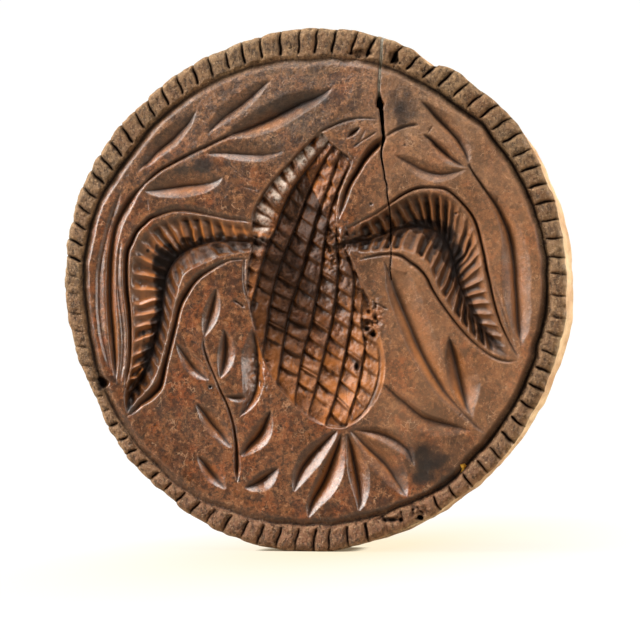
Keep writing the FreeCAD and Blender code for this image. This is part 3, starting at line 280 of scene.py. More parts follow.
    "body_left2": ([
     (-14.59, 7.72), (-14.81, 4.68), (-14.81, 1.2), (-14.25, -1.42), (-13.47, -3.16),
     (-12.91, -5.77), (-12.35, -8.82)], 0.303, 0.303, 0.5, "line"),
    "shoulder_l": ([(-15.71, 10.67), (-14.15, 9.9), (-12.58, 9.01), (-11.02, 8.12)],
     0.476, 0.346, 0.7, "line"),
    "crackle1": ([(-17.27, -2.27), (-15.93, -3.04), (-14.58, -4.02)], 0.259, 0.259, 0.6, "line"),
    "crackle2": ([(13.54, -2.9), (15.07, -3.56), (17.27, -4.65)], 0.259, 0.259, 0.5, "line"),
}
# outline of the scaled breast: (x, z)
BODY = [
    (0.53, 32.52), (2.52, 33.78), (4.51, 31.58), (6.94, 29.59), (9.15, 27.82), (8.27, 25.45),
    (7.16, 22.87), (6.17, 20.29), (5.62, 17.48), (5.62, 14.45), (6.5, 11.41), (7.82, 8.37),
    (9.14, 5.76), (10.46, 2.73), (11.78, -0.3), (13.32, -3.33), (14.63, -6.79), (15.51, -10.67),
    (16.28, -14.12), (16.49, -17.57), (15.94, -21.01), (14.85, -23.81), (13.09, -26.17),
    (10.89, -28.33), (8.03, -29.84), (4.29, -29.85), (0.98, -28.56), (-2.34, -26.18),
    (-5.45, -23.15), (-7.89, -20.11), (-9.9, -16.64), (-11.23, -13.16), (-12.13, -9.69),
    (-13.02, -6.21), (-13.69, -2.94), (-14.14, -0.11), (-14.03, 3.15), (-13.7, 5.97),
    (-13.03, 8.58), (-12.58, 11.18), (-12.92, 13.8), (-12.48, 16.41), (-11.47, 18.79),
    (-9.91, 21.16), (-8.35, 23.2), (-6.57, 25.35), (-4.35, 27.49), (-2.13, 29.85)]
# lines (x, z) between the bands of scales, left to right, each running downwards
ROWS = [
    [(0.53, 32.52), (-2.35, 29.74), (-4.57, 27.39), (-6.8, 25.25), (-8.58, 23.21),
     (-10.14, 21.16), (-11.58, 18.79), (-12.59, 16.62), (-13.03, 13.8), (-12.81, 10.75),
     (-13.25, 8.15), (-13.81, 5.98), (-14.25, 3.15), (-14.25, -0.11), (-13.47, -2.94)],
    [(2.3, 30.1), (0.53, 27.74), (-1.24, 25.6), (-2.8, 23.56), (-4.35, 21.3), (-5.68, 18.71),
     (-6.91, 15.9), (-7.91, 12.87), (-9.13, 10.39), (-10.13, 7.9), (-10.91, 5.3),
     (-11.58, 2.69), (-12.24, 0.09), (-13.02, -2.51)],
    [(4.51, 30.28), (2.97, 27.92), (1.53, 25.34), (0.2, 22.54), (-1.02, 19.74), (-2.13, 16.71),
     (-3.35, 13.69), (-4.57, 10.66), (-5.79, 7.96), (-6.68, 5.69), (-7.46, 3.31), (-8.12, 0.93),
     (-8.68, -1.46), (-9.12, -4.06), (-9.46, -6.88), (-9.9, -9.7), (-10.34, -12.73)],
    [(6.5, 29.16), (5.4, 26.58), (4.51, 23.78), (3.3, 20.76), (2.19, 17.96), (1.19, 15.05),
     (0.42, 12.13), (-0.47, 9.32), (-1.24, 6.51), (-2.02, 3.7), (-3.01, 0.67), (-4.01, -2.14),
     (-4.79, -4.73), (-5.34, -7.55), (-5.79, -10.37), (-6.23, -13.18), (-6.67, -16.0),
     (-7.23, -19.25)],
    [(9.15, 27.61), (7.83, 25.25), (6.5, 22.56), (5.29, 19.65), (4.29, 16.63), (3.63, 13.61),
     (3.19, 10.58), (2.79, 7.77), (2.48, 4.96), (2.08, 2.15), (1.53, -0.66), (0.97, -3.47),
     (0.42, -6.28), (-0.24, -9.09), (-1.13, -11.9), (-1.9, -14.71), (-2.46, -17.74),
     (-2.9, -20.55), (-3.23, -22.93)],
    [(6.28, 15.96), (5.73, 12.72), (5.62, 9.91), (5.95, 7.09), (6.06, 4.06), (5.88, 1.04),
     (5.57, -1.77), (5.17, -4.36), (4.73, -6.95), (4.18, -9.54), (3.41, -12.35), (2.74, -15.16),
     (2.08, -17.75), (1.42, -20.56), (0.64, -23.37), (-0.24, -26.4)],
    [(7.6, 7.51), (8.7, 5.23), (9.43, 2.74), (9.58, -0.07), (9.36, -2.88), (9.14, -5.47),
     (8.81, -8.27), (8.26, -11.07), (7.71, -14.09), (7.04, -17.33), (6.27, -20.57),
     (5.39, -23.8), (4.4, -26.61), (3.4, -29.2)],
    [(11.34, -3.75), (11.23, -6.34), (11.45, -9.15), (11.95, -11.95), (11.73, -14.54),
     (11.23, -17.34), (10.79, -19.93), (10.13, -22.51), (9.24, -25.1), (8.14, -28.33)],
    [(14.63, -11.75), (15.07, -14.33), (15.11, -17.13), (14.74, -19.72), (14.08, -22.08),
     (13.2, -24.24), (12.1, -26.07), (10.45, -27.79), (8.69, -29.19)],
]
# band to the right of each row: where a scale starts (x, z), slant, pitch, height, lean, painted
# shade
BANDS = [
    (-6.13, 25.89, 1.5, 3.30, 0.80, 0.60, 0.0), (-8.57, 10.71, 1.3, 3.45, 0.80, 0.70, 0.60),
    (-4.79, 5.89, 1.3, 3.45, 0.80, 0.75, 0.72), (-0.8, 7.37, 1.4, 3.5, 0.90, 0.80, 0.62),
    (3.19, 3.65, 1.7, 3.5, 0.95, 0.80, 0.42), (6.06, 0.82, 1.9, 3.5, 0.95, 0.75, 0.26),
    (9.14, -6.33, 1.9, 3.45, 0.90, 0.65, 0.12), (11.56, -13.24, 1.9, 3.4, 0.85, 0.55, 0.05)]
# lines between wing barbs: x, z at the wing's border, then x, z at the other end
BARBS_LEFT_OUT = [
    (-13.03, 14.45, -11.92, 10.74), (-15.49, 14.92, -14.37, 10.77), (-17.95, 15.16, -16.61, 10.79),
    (-20.42, 15.63, -18.84, 10.82), (-22.89, 16.10, -21.09, 10.84), (-25.36, 16.78, -23.11, 10.64),
    (-27.83, 17.25, -25.13, 10.01), (-30.20, 17.28, -26.93, 9.37), (-32.68, 16.87, -28.50, 8.73),
    (-35.06, 15.81, -29.85, 7.87), (-37.32, 14.08, -30.98, 6.79), (-39.24, 11.69, -31.77, 5.70),
    (-40.71, 8.41, -32.44, 4.40), (-40.93, 4.14, -32.89, 2.43), (-40.81, 0.52, -33.23, 0.03),
    (-40.53, -2.88, -33.45, -2.16), (-40.28, -5.73, -33.78, -4.56), (-40.18, -8.57, -34.23, -6.96),
    (-40.15, -11.64, -35.02, -9.58), (-40.22, -14.60, -35.92, -12.64),
    (-40.55, -17.44, -37.05, -15.70), (-41.00, -19.85, -38.40, -18.76),
    (-41.34, -22.25, -39.75, -21.38)]
BARBS_LEFT_IN = [
    (-10.80, 10.08, -9.91, 8.76), (-13.70, 10.33, -11.47, 8.35), (-17.05, 10.36, -14.15, 7.28),
    (-20.19, 10.39, -16.60, 6.87), (-23.33, 10.21, -19.74, 6.25), (-26.25, 9.37, -23.10, 5.19),
    (-28.50, 8.30, -25.34, 3.68), (-30.30, 6.78, -27.37, 1.73), (-31.65, 4.83, -28.94, -0.22),
    (-32.55, 2.65, -30.06, -2.18), (-33.11, 0.03, -30.85, -4.58), (-33.45, -2.81, -31.41, -7.20),
    (-33.90, -5.65, -31.97, -9.60), (-34.46, -8.49, -32.53, -12.00),
    (-35.13, -11.33, -33.21, -14.40), (-36.03, -14.17, -34.22, -17.02),
    (-37.04, -17.01, -35.46, -19.64), (-38.51, -19.85, -37.04, -21.82),
    (-39.98, -22.04, -38.62, -23.57), (-40.88, -24.00, -39.97, -25.54)]
BARBS_RIGHT_OUT = [
    (10.25, 13.75, 11.35, 10.71), (12.45, 14.70, 14.20, 11.33), (14.65, 15.86, 16.84, 12.16),
    (16.84, 17.34, 19.25, 13.00), (18.81, 18.82, 21.66, 13.40), (21.01, 20.09, 23.84, 13.59),
    (23.41, 21.03, 25.81, 13.35), (26.03, 21.21, 27.55, 12.69), (28.65, 21.06, 29.07, 11.60),
    (31.04, 19.95, 30.16, 9.87), (33.21, 17.99, 30.81, 8.14), (34.95, 15.82, 31.24, 6.64),
    (36.14, 13.24, 31.68, 5.13), (36.89, 10.55, 32.00, 3.84), (37.43, 7.86, 32.33, 2.55),
    (37.97, 5.07, 32.76, 1.26), (38.61, 2.28, 33.30, -0.25), (39.26, -0.51, 34.06, -1.75),
    (39.90, -3.19, 34.92, -3.47), (40.76, -5.76, 36.00, -5.41), (41.73, -8.33, 37.30, -7.56),
    (42.91, -10.79, 38.81, -9.70), (43.99, -12.93, 40.54, -11.85)]
BARBS_RIGHT_IN = [
    (11.35, 10.28, 10.24, 8.13), (14.20, 10.90, 12.66, 7.89), (16.84, 11.73, 14.86, 7.87),
    (19.47, 12.56, 17.27, 8.06), (22.09, 13.07, 19.90, 7.60), (24.93, 13.04, 22.31, 6.07),
    (27.55, 12.04, 24.27, 4.55), (29.51, 10.30, 25.80, 2.60), (30.70, 8.14, 26.99, 0.44),
    (31.46, 5.77, 28.19, -1.71), (32.00, 3.41, 29.71, -3.87), (32.76, 1.04, 31.23, -6.02),
    (33.62, -1.32, 32.96, -8.18), (34.71, -3.47, 34.70, -10.11), (36.22, -5.84, 36.65, -11.83),
    (37.73, -8.20, 38.81, -13.55), (39.46, -10.56, 40.97, -14.63)]
# runs of barbs: lines, depth, seed, skew of the scoop
BARB_RUNS = [
    (BARBS_LEFT_OUT[:11], 0.95, 11, 0.70), (BARBS_LEFT_OUT[10:], 0.85, 12, 1.3),
    (BARBS_LEFT_IN, 0.75, 13, 1.3), (BARBS_RIGHT_OUT[:10], 1.15, 14, 1.5),
    (BARBS_RIGHT_OUT[9:], 0.80, 15, 0.8), (BARBS_RIGHT_IN, 1.05, 16, 1.4)]
# for each wing: painted shade and painted glow (left, right of the valley line), its bend (x, z),
# and blots of painted black shadow (x, z, half width, half height)
WINGS = {
    "wing_l": ((0.62, 0.0), (0.0, 1.0), (-31.7, 6.2),
               [(-31.9, 7.0, 3.3, 2.1), (-33.2, 1.5, 1.5, 3.6), (-33.6, -6.7, 1.2, 6.0),
                (-36.2, -15.6, 1.2, 4.2)]),
    "wing_r": ((0.25, 0.40), (0.35, 0.25), (30.0, 10.5),
               [(29.5, 11.0, 2.6, 1.9), (32.0, 6.4, 1.4, 3.8), (25.3, 13.9, 3.6, 0.9)]),
}
# the open crack, from the top edge down: x, z, width
CRACK = [
    (15.76, 54.53, 0.43), (15.61, 51.50, 0.43), (15.54, 49.34, 0.43), (15.32, 47.18, 0.39),
    (15.14, 44.59, 0.35), (15.10, 42.21, 0.37), (15.21, 41.13, 0.56), (15.32, 40.04, 0.78),
    (15.54, 38.96, 0.56), (15.71, 37.66, 0.48), (15.86, 35.93, 0.50), (15.97, 34.20, 0.52),
    (16.15, 32.46, 0.52), (15.82, 30.74, 0.35), (15.57, 29.02, 0.26), (15.86, 27.07, 0.24),
    (16.25, 25.12, 0.22), (16.41, 23.61, 0.19), (16.84, 22.30, 0.19), (16.89, 20.36, 0.19),
    (17.13, 18.85, 0.15), (17.50, 16.47, 0.13), (17.72, 13.45, 0.13), (17.71, 10.43, 0.13),
    (17.76, 7.19, 0.13), (17.56, 4.39, 0.11), (17.82, 1.81, 0.09)]
# notches round the rim: bearing, slant off the radius (degrees), strength
NOTCHES = [
    (3.0, -7.8, 0.6), (6.8, -7.6, 1.0), (11.1, -7.4, 1.0), (15.3, -7.2, 1.0), (19.6, -7.0, 1.0),
    (23.8, -6.8, 1.0), (28.0, -6.6, 1.0), (32.0, -6.5, 1.0), (36.2, -6.3, 1.0), (40.2, -6.2, 1.0),
    (44.3, -6.1, 1.0), (48.3, -8.0, 1.0), (52.4, -10.0, 1.0), (56.7, -12.0, 1.0),
    (60.8, -14.6, 1.0), (65.2, -16.5, 1.0), (69.6, -13.0, 1.0), (75.8, -9.0, 1.0),
    (79.9, -7.4, 1.0), (84.6, -5.4, 1.0), (88.8, -4.0, 1.0), (92.8, -4.0, 1.0), (97.3, -4.0, 1.0),
    (102.0, -4.0, 1.0), (106.4, -4.0, 1.0), (110.4, -5.0, 1.0), (114.7, -6.8, 1.0),
    (118.8, -8.4, 1.0), (123.2, -10.2, 1.0), (127.6, -11.9, 1.0), (132.0, -12.6, 1.0),
    (135.9, -13.2, 1.0), (140.3, -13.8, 1.0), (144.5, -14.4, 1.0), (148.6, -15.0, 1.0),
    (152.6, -15.0, 1.0), (156.7, -15.0, 1.0), (160.7, -15.0, 1.0), (164.6, -15.0, 1.0),
    (168.5, -15.0, 1.0), (172.3, -15.0, 1.0), (176.4, -15.0, 0.45), (180.5, -15.0, 0.45),
    (185.3, -15.2, 0.45), (189.4, -15.4, 0.45), (193.2, -15.5, 0.45), (197.9, -15.7, 0.45),
    (201.7, -15.8, 0.45), (205.8, -16.0, 0.45), (209.5, -16.1, 0.45), (213.3, -16.3, 1.0),
    (217.4, -16.4, 1.0), (221.1, -16.6, 1.0), (224.8, -16.7, 1.0), (229.0, -16.9, 1.0),
    (233.1, -16.8, 1.0), (237.1, -16.1, 1.0), (241.4, -15.4, 1.0), (245.6, -14.7, 1.0),
    (249.9, -14.0, 1.0), (254.3, -13.3, 1.0), (258.3, -12.6, 1.0), (262.6, -11.9, 1.0),
    (266.8, -11.2, 1.0), (271.0, -10.5, 1.0), (274.4, -10.0, 1.0), (278.7, -9.3, 1.0),
    (283.3, -8.5, 1.0), (288.0, -8.0, 0.5), (292.2, -8.0, 0.5), (296.1, -8.0, 0.5),
    (300.8, -8.0, 1.0), (305.2, -8.0, 1.0), (309.7, -8.0, 1.0), (314.4, -8.0, 1.0),
    (318.7, -8.0, 1.0), (323.3, -8.0, 1.0), (327.5, -8.0, 1.0), (331.9, -8.0, 1.0),
    (336.5, -8.0, 1.0), (340.8, -8.0, 1.0), (344.9, -8.0, 0.6), (349.2, -8.0, 0.6),
    (353.2, -8.0, 0.6), (358.1, -8.0, 0.6)]
# parametric angle (degrees) and radius of the rim as a multiple of the nominal oval
OUTLINE = [
    (18.7, 1.0148), (28.4, 1.0181), (35.2, 1.0232), (40.1, 1.0205), (47.9, 1.0054),
    (55.9, 0.9989), (58.8, 0.9873), (60.8, 0.965), (63.3, 0.9786), (65.9, 0.9932), (71.9, 0.9942),
    (78.0, 0.9956), (88.1, 0.9964), (98.3, 0.9923), (110.6, 0.9891), (118.7, 0.9927),
    (128.9, 1.0014), (131.5, 0.998), (133.0, 0.9888), (135.0, 0.9994), (139.1, 1.0092),
    (149.2, 1.0163), (159.4, 1.0239), (167.4, 1.0214), (174.5, 1.0128), (179.6, 1.0104),
    (184.7, 1.0053), (191.8, 0.9943), (199.9, 0.9799), (205.1, 0.9751), (210.2, 0.9796),
    (215.3, 0.9858), (225.6, 0.987), (233.9, 0.9811), (239.0, 0.9911), (246.2, 0.9954),
    (266.7, 0.9997), (271.8, 0.9996), (280.0, 0.9867), (287.0, 0.9798), (301.9, 0.9811),
    (311.7, 0.9835), (321.4, 0.9947), (331.0, 0.9933), (340.6, 0.9995), (350.1, 1.0102),
    (354.8, 1.0129), (359.6, 1.0094)]
# the ring groove between field and rim: bearing (degrees), radius; the next three tables
# also run by bearing
RING = [
    (0.5, 51.76), (4.1, 51.89), (10.0, 51.92), (15.5, 51.96), (21.2, 51.62), (26.4, 51.59),
    (29.8, 51.48), (33.0, 51.25), (38.2, 51.42), (42.2, 51.6), (46.8, 51.13), (49.8, 50.84),
    (53.0, 50.86), (60.2, 50.65), (67.3, 51.05), (74.5, 50.8), (82.6, 50.4), (90.2, 49.91),
    (97.8, 50.3), (108.2, 50.37), (119.3, 50.56), (125.4, 50.45), (131.6, 50.75), (139.2, 50.49),
    (147.6, 50.64), (154.5, 51.4), (158.6, 51.56), (166.2, 51.52), (171.2, 51.55), (177.4, 51.44),
    (182.3, 50.97), (189.8, 50.74), (196.8, 51.04), (202.0, 51.2), (208.7, 51.28), (216.3, 51.58),
    (241.7, 51.97), (249.7, 51.54), (256.2, 51.52), (264.9, 51.25), (269.9, 51.23),
    (291.3, 51.14), (295.8, 51.22), (300.5, 51.54), (305.4, 51.56), (313.1, 51.06),
    (324.0, 51.11), (330.6, 51.19), (337.3, 51.18), (343.6, 51.23), (349.8, 51.48),
    (353.4, 51.66), (357.0, 51.61)]
# share of the groove's depth that is left
GROOVE_LEFT = [
    (0, 1.0), (45, 1.0), (62, 0.75), (78, 0.42), (118, 0.42), (135, 0.72), (170, 0.85),
    (196, 0.75), (205, 0.55), (250, 0.45), (272, 0.45), (285, 0.7), (310, 0.9)]
GROOVE_OUTER_WIDTH = [(0, 1.25), (50, 1.2), (75, 0.95), (200, 0.95), (270, 0.95), (320, 1.1)]
# painted shade in the groove
GROOVE_SHADE = [
    (0, 0.94), (45, 0.90), (62, 0.66), (80, 0.15), (118, 0.10), (135, 0.40), (170, 0.55),
    (196, 0.50), (205, 0.35), (250, 0.30), (272, 0.30), (285, 0.45), (310, 0.74), (335, 0.92)]
# dark spots: x, z, half width, half height, strength; those in the upper-left leaves are painted
# shade
STAINS = [
    (-24.69, 27.70, 1.51, 1.08, 0.80), (-5.69, 39.36, 3.46, 1.30, 0.50),
    (19.70, 38.66, 2.38, 2.59, 0.75), (25.33, -38.18, 3.24, 3.24, 0.90),
    (12.44, -8.72, 0.65, 0.65, 0.90), (13.76, -10.02, 0.65, 0.65, 0.80),
    (10.24, -16.91, 0.65, 1.08, 0.90), (-40.43, -25.75, 0.86, 1.30, 0.80),
    (-46.79, -20.28, 1.08, 1.30, 0.70), (4.29, -6.74, 6.49, 12.97, 0.12),
    (-22.40, -21.18, 0.43, 0.43, 0.90), (9.14, 11.60, 1.73, 1.30, 0.30),
    (-5.6, 39.2, 3.4, 1.2, 0.62), (-2.4, 40.3, 3.2, 1.3, 0.72), (0.8, 41.5, 3.0, 1.1, 0.66),
    (-24.0, 27.3, 3.4, 1.3, 0.78), (25.0, -36.0, 2.6, 2.4, 0.80), (27.6, -37.4, 2.4, 2.6, 0.74),
    (26.2, -39.6, 2.0, 1.6, 0.60)]
# broken wood: x, z, half width, half height, depth
DAMAGE = [
    (7.60, 10.54, 4.32, 3.46, 0.55), (-10.79, -17.51, 2.59, 5.62, 0.35),
    (13.54, -6.35, 2.59, 4.76, 0.60), (22.92, -48.05, 3.46, 1.30, 1.00),
    (-10.80, 11.17, 2.16, 1.95, 0.30), (-2.35, -2.37, 12.97, 23.78, 0.08),
    (4.9, 8.4, 3.0, 4.8, 0.55), (13.6, -7.8, 1.6, 3.0, 0.5), (-11.9, 9.6, 1.8, 2.2, 0.35)]
HOLES = [
    (24.01, -49.33, 0.69, 0.48, 2.50), (10.92, 50.96, 1.95, 0.97, 1.20),
    (18.61, 49.70, 0.97, 1.73, 1.60), (25.84, 47.82, 1.73, 1.95, 1.00),
    (-46.79, -20.28, 0.97, 1.19, 1.60), (12.44, -8.72, 0.54, 0.54, 1.00),
    (13.76, -10.02, 0.65, 0.54, 1.00), (10.24, -16.91, 0.43, 0.86, 1.00),
    (15.32, 39.83, 0.86, 0.97, 4.00), (-22.40, -21.18, 0.28, 0.28, 0.50),
    (13.33, 18.25, 0.48, 0.32, 0.35), (20.79, 30.87, 0.22, 0.22, 0.30),
    (32.12, 16.07, 0.32, 0.32, 0.40), (17.46, -49.80, 3.03, 0.65, 1.20)]
FLECK = np.array([
    (32.61, -37.83), (33.58, -37.61), (33.91, -38.25), (33.25, -39.43), (32.39, -39.86),
    (32.93, -38.79)])
# side wall: (share of SIDE_DEPTH), then the rounded back edge: (y, inset)
SIDE_DEPTH = 21.0
SIDE_SHARES = (0.10, 0.22, 0.36, 0.52, 0.68, 0.84, 1.0)
BACK_EDGE = ((22.0, 0.22), (22.9, 0.85), (23.6, 1.75), (24.0, 3.0))
BACK_HALF_W, BACK_HALF_H, BACK_DROP = 54.25, 56.6, -0.4
BACK_Y = 24.0
# back, from outside in: radius, y, unevenness; a round boss, then the socket down its middle
BACK_RINGS = (
    (46, 24.02, 1), (40, 24.0, 1), (34, 24.03, 1), (28, 24.0, 1), (23, 24.0, 1), (20.2, 24.0, 0),
    (19.0, 24.03, 0), (18.2, 24.25, 0), (17.4, 25.0, 0), (16.6, 26.0, 0), (16.0, 26.6, 0),
    (15.4, 26.9, 0), (14.6, 27.0, 0), (12.0, 26.99, 0), (8.5, 27.0, 0), (8.1, 26.9, 0),
    (8.0, 26.6, 0), (8.0, 20.0, 0), (8.0, 12.0, 0), (4.0, 12.0, 0))
SOCKET_Y = 12.0
BACK_SKIP = 4                        # the back keeps every fourth point of the side

# ------------------------------------------------------------------ the depth grid
CELL = 0.1
LEFT, RIGHT, BOTTOM, TOP = -58.6, 58.6, -60.2, 60.2
COLUMNS = int(round((RIGHT - LEFT) / CELL)) + 1
LEVELS = int(round((TOP - BOTTOM) / CELL)) + 1
column_x = LEFT + CELL * np.arange(COLUMNS)
level_z = BOTTOM + CELL * np.arange(LEVELS)
grid_x, grid_z = np.meshgrid(column_x, level_z)


def clamp(values):
    return np.clip(values, 0, 1)


def placed(values, patch):
    """A whole grid that is zero outside the patch."""
    whole = np.zeros_like(grid_x)
    whole[patch] = values
    return whole


def spread(small, row, column, ease=lambda t: t):
    """Interpolate a small array at every crossing of the row and column positions."""
    row_at, column_at = row.astype(int), column.astype(int)
    row_t = ease(row - row_at)[:, None]
    column_t = ease(column - column_at)[None]
    near, far = (small[rows][:, column_at] * (1 - column_t)
                 + small[rows][:, column_at + 1] * column_t for rows in (row_at, row_at + 1))
    return near * (1 - row_t) + far * row_t


def blur_axis(values, sigma, axis):
    reach = max(1, int(math.ceil(3 * sigma)))
    weights = np.exp(-0.5 * (np.arange(-reach, reach + 1) / sigma) ** 2)
    weights /= weights.sum()
    pad = [(0, 0), (0, 0)]
    pad[axis] = (reach, reach)
    padded = np.pad(values, pad, mode="edge")
    out = np.zeros_like(values)
    size = values.shape[axis]
    for i, weight in enumerate(weights):
        out += weight * (padded[i:i + size, :] if axis == 0 else padded[:, i:i + size])
    return out


def blur(values, mm):
    """Gaussian blur; wide ones work on a shrunken grid to stay quick."""
    sigma = mm / CELL
    if sigma <= 4:
        return blur_axis(blur_axis(values, sigma, 0), sigma, 1)
    step = int(sigma // 2)
    height, width = values.shape
    small = values[:height // step * step, :width // step * step]
    small = small.reshape(height // step, step, width // step, step).mean((1, 3))
    small = blur_axis(blur_axis(small, sigma / step, 0), sigma / step, 1)
    row, column = (np.clip((np.arange(full) + 0.5) / step - 0.5, 0, count - 1.001)
                   for full, count in zip((height, width), small.shape))
    return spread(small, row, column)


def noise(mm, mm_z=None, seed=0):
    """Smooth noise of about unit spread, its features mm wide and mm_z high."""
    mm_z = mm if mm_z is None else mm_z
    size = int((TOP - BOTTOM) / mm_z) + 4, int((RIGHT - LEFT) / mm) + 4
    small = np.random.default_rng(seed).standard_normal(size)
    return 1.4 * spread(small, (level_z - BOTTOM) / mm_z, (column_x - LEFT) / mm,
                        lambda t: t * t * (3 - 2 * t))


def window(x_min, x_max, z_min, z_max):
    """Index of the grid patch that covers these limits."""
    columns = (np.clip((x_min - LEFT) / CELL, 0, COLUMNS),
               np.clip((x_max - LEFT) / CELL + 2, 0, COLUMNS))
    levels = (np.clip((z_min - BOTTOM) / CELL, 0, LEVELS),
              np.clip((z_max - BOTTOM) / CELL + 2, 0, LEVELS))
    return slice(*map(int, levels)), slice(*map(int, columns))


def window_round(points, margin):
    x, z = np.asarray(points).T
    return window(x.min() - margin, x.max() + margin, z.min() - margin, z.max() + margin)


def sample(values, x, z):
    """Read a grid between its points."""
    column = np.clip((x - LEFT) / CELL, 0, COLUMNS - 1.001)
    level = np.clip((z - BOTTOM) / CELL, 0, LEVELS - 1.001)
    i, j = column.astype(int), level.astype(int)
    right, up = column - i, level - j
    return (values[j, i] * (1 - right) * (1 - up) + values[j, i + 1] * right * (1 - up)
            + values[j + 1, i] * (1 - right) * up + values[j + 1, i + 1] * right * up)


# ------------------------------------------------------------------ lines and strokes
def catmull(a, b, c, d, t):
    return 0.5 * (2 * b + (c - a) * t + (2 * a - 5 * b + 4 * c - d) * t * t
                  + (3 * b - a - 3 * c + d) * t ** 3)


def smooth_line(points, values=(), step=0.5):
    """Catmull-Rom line through the points, with the values carried along."""
    points = np.asarray(points, float)
    values = [np.broadcast_to(np.asarray(v, float), (len(points),)) for v in values]
    ends = np.vstack([2 * points[0] - points[1], points, 2 * points[-1] - points[-2]])
    line, carried = [], [[] for _ in values]
    for i in range(len(points) - 1):
        count = max(1, int(np.hypot(*(points[i + 1] - points[i])) / step))
        for k in range(count):
            t = k / count
            line.append(catmull(*ends[i:i + 4], t))
            for v, out in zip(values, carried):
                here, after = v[i], v[i + 1]
                value = catmull(v[max(i - 1, 0)], here, after, v[min(i + 2, len(v) - 1)], t)
                out.append(min(max(value, min(here, after)), max(here, after)))
    line.append(points[-1])
    for v, out in zip(values, carried):
        out.append(v[-1])
    return np.array(line), [np.array(out) for out in carried]


def nearest(line, x, z):
    """Signed distance (left positive) and running index of the nearest point."""
    best = np.full(x.shape, 1e9)
    side = np.ones(x.shape)
    where = np.zeros(x.shape)
    for i, ((ax, az), (bx, bz)) in enumerate(zip(line, line[1:])):
        dx, dz = bx - ax, bz - az
        off_x, off_z = x - ax, z - az
        t = clamp((off_x * dx + off_z * dz) / (dx * dx + dz * dz + 1e-12))
        squared = (off_x - t * dx) ** 2 + (off_z - t * dz) ** 2
        closer = squared < best
        best[closer] = squared[closer]
        side[closer] = np.where(dx * off_z - dz * off_x > 0, 1.0, -1.0)[closer]
        where[closer] = (i + t)[closer]
    return np.sqrt(best) * side, where


def along_line(where, values):
    """Values listed per line point, read at running indices."""
    return np.interp(where, np.arange(len(values)), values)


def ends_shape(kind, s):
    if kind == "leaf":
        return np.sin(np.pi * clamp(s)) ** 0.75
    if kind == "line":
        return clamp(np.minimum(s, 1 - s) * 7) ** 0.6
    return np.ones_like(s)


def gouge(field, points, left, right, depth, ends="raw", walls=(1.0, 1.0)):
    """One stroke; keeps the deeper of what is there and this cut.

    walls are the powers that shape the left and right wall.
    """
    line, carried = smooth_line(points, (left, right, depth))
    fade = ends_shape(ends, np.linspace(0, 1, len(line)))
    left, right, depth = (v * fade for v in carried)
    patch = window_round(line, max(left.max(), right.max()) + 0.3)
    offset, where = nearest(line, grid_x[patch], grid_z[patch])
    reach = np.where(offset > 0, along_line(where, left), along_line(where, right))
    share = clamp(np.abs(offset) / np.maximum(reach, 0.06))
    stroke = along_line(where, depth) * (1 - share ** np.where(offset > 0, *walls))
    field[patch] = np.maximum(field[patch], stroke)


def inside(outline, x, z):
    within = np.zeros(x.shape, bool)
    for (ax, az), (bx, bz) in zip(outline, np.roll(outline, -1, 0)):
        if az != bz:
            spans = (az > z) != (bz > z)
            within ^= spans & (x < (bx - ax) * (z - az) / (bz - az) + ax)
    return within


def looped(table, degrees):
    """Read an (angle, value) table that runs once round the circle."""
    angles, values = np.array(sorted(table)).T
    return np.interp(degrees, angles, values, period=360)


def outline_scale(degrees):
    """Rim radius as a multiple of the nominal oval, with small hand-made bumps."""
    a = np.radians(degrees)
    small = 0.0022 * np.sin(23 * a + 1.3) * np.sin(5 * a) + 0.0018 * np.sin(41 * a + 0.4)
    small += 0.0012 * np.sin(97 * a + 2.0) * np.sin(11 * a + 0.7)
    return np.clip(looped(OUTLINE, degrees) + small, 0.9, 1.027)


# ------------------------------------------------------------------ base: rim land and field
bearing = np.degrees(np.arctan2(grid_z, grid_x)) % 360
oval_angle = np.degrees(np.arctan2(grid_z / HALF_H, grid_x / HALF_W)) % 360
oval_radius = np.hypot(grid_x / HALF_W, grid_z / HALF_H)
edge_in = (outline_scale(oval_angle) - oval_radius) * 56.0       # mm inside the outline
# positive outwards from the groove's bottom
groove_off = np.hypot(grid_x, grid_z) - looped(RING, bearing) + 0.10 * noise(3.0, seed=2)
is_field = groove_off < 0
field_level = (0.42 + 0.10 * noise(14, seed=3) + 0.05 * noise(5, seed=4)
               + 0.012 * noise(1.6, 3.5, seed=5))
# the field's edge stands up as a soft ridge beside the groove
field_level -= 0.14 * np.exp(-((groove_off + 1.9) / 1.1) ** 2)
land = 0.05 * noise(6, seed=6) + 0.03 * noise(2.2, seed=7)
land += 0.95 * np.clip(1 - edge_in / 1.7, 0, 1.3) ** 2.2         # rolls over to the side
base = np.where(is_field, field_level, land)
groove_left = looped(GROOVE_LEFT, bearing)
groove_depth = (1.65 + 0.18 * noise(9, seed=8)) * (0.25 + 0.75 * groove_left)
groove = groove_depth * np.where(
    groove_off >= 0, clamp(1 - groove_off / looped(GROOVE_OUTER_WIDTH, bearing)),
    clamp(1 + groove_off / 1.65) ** 1.15)


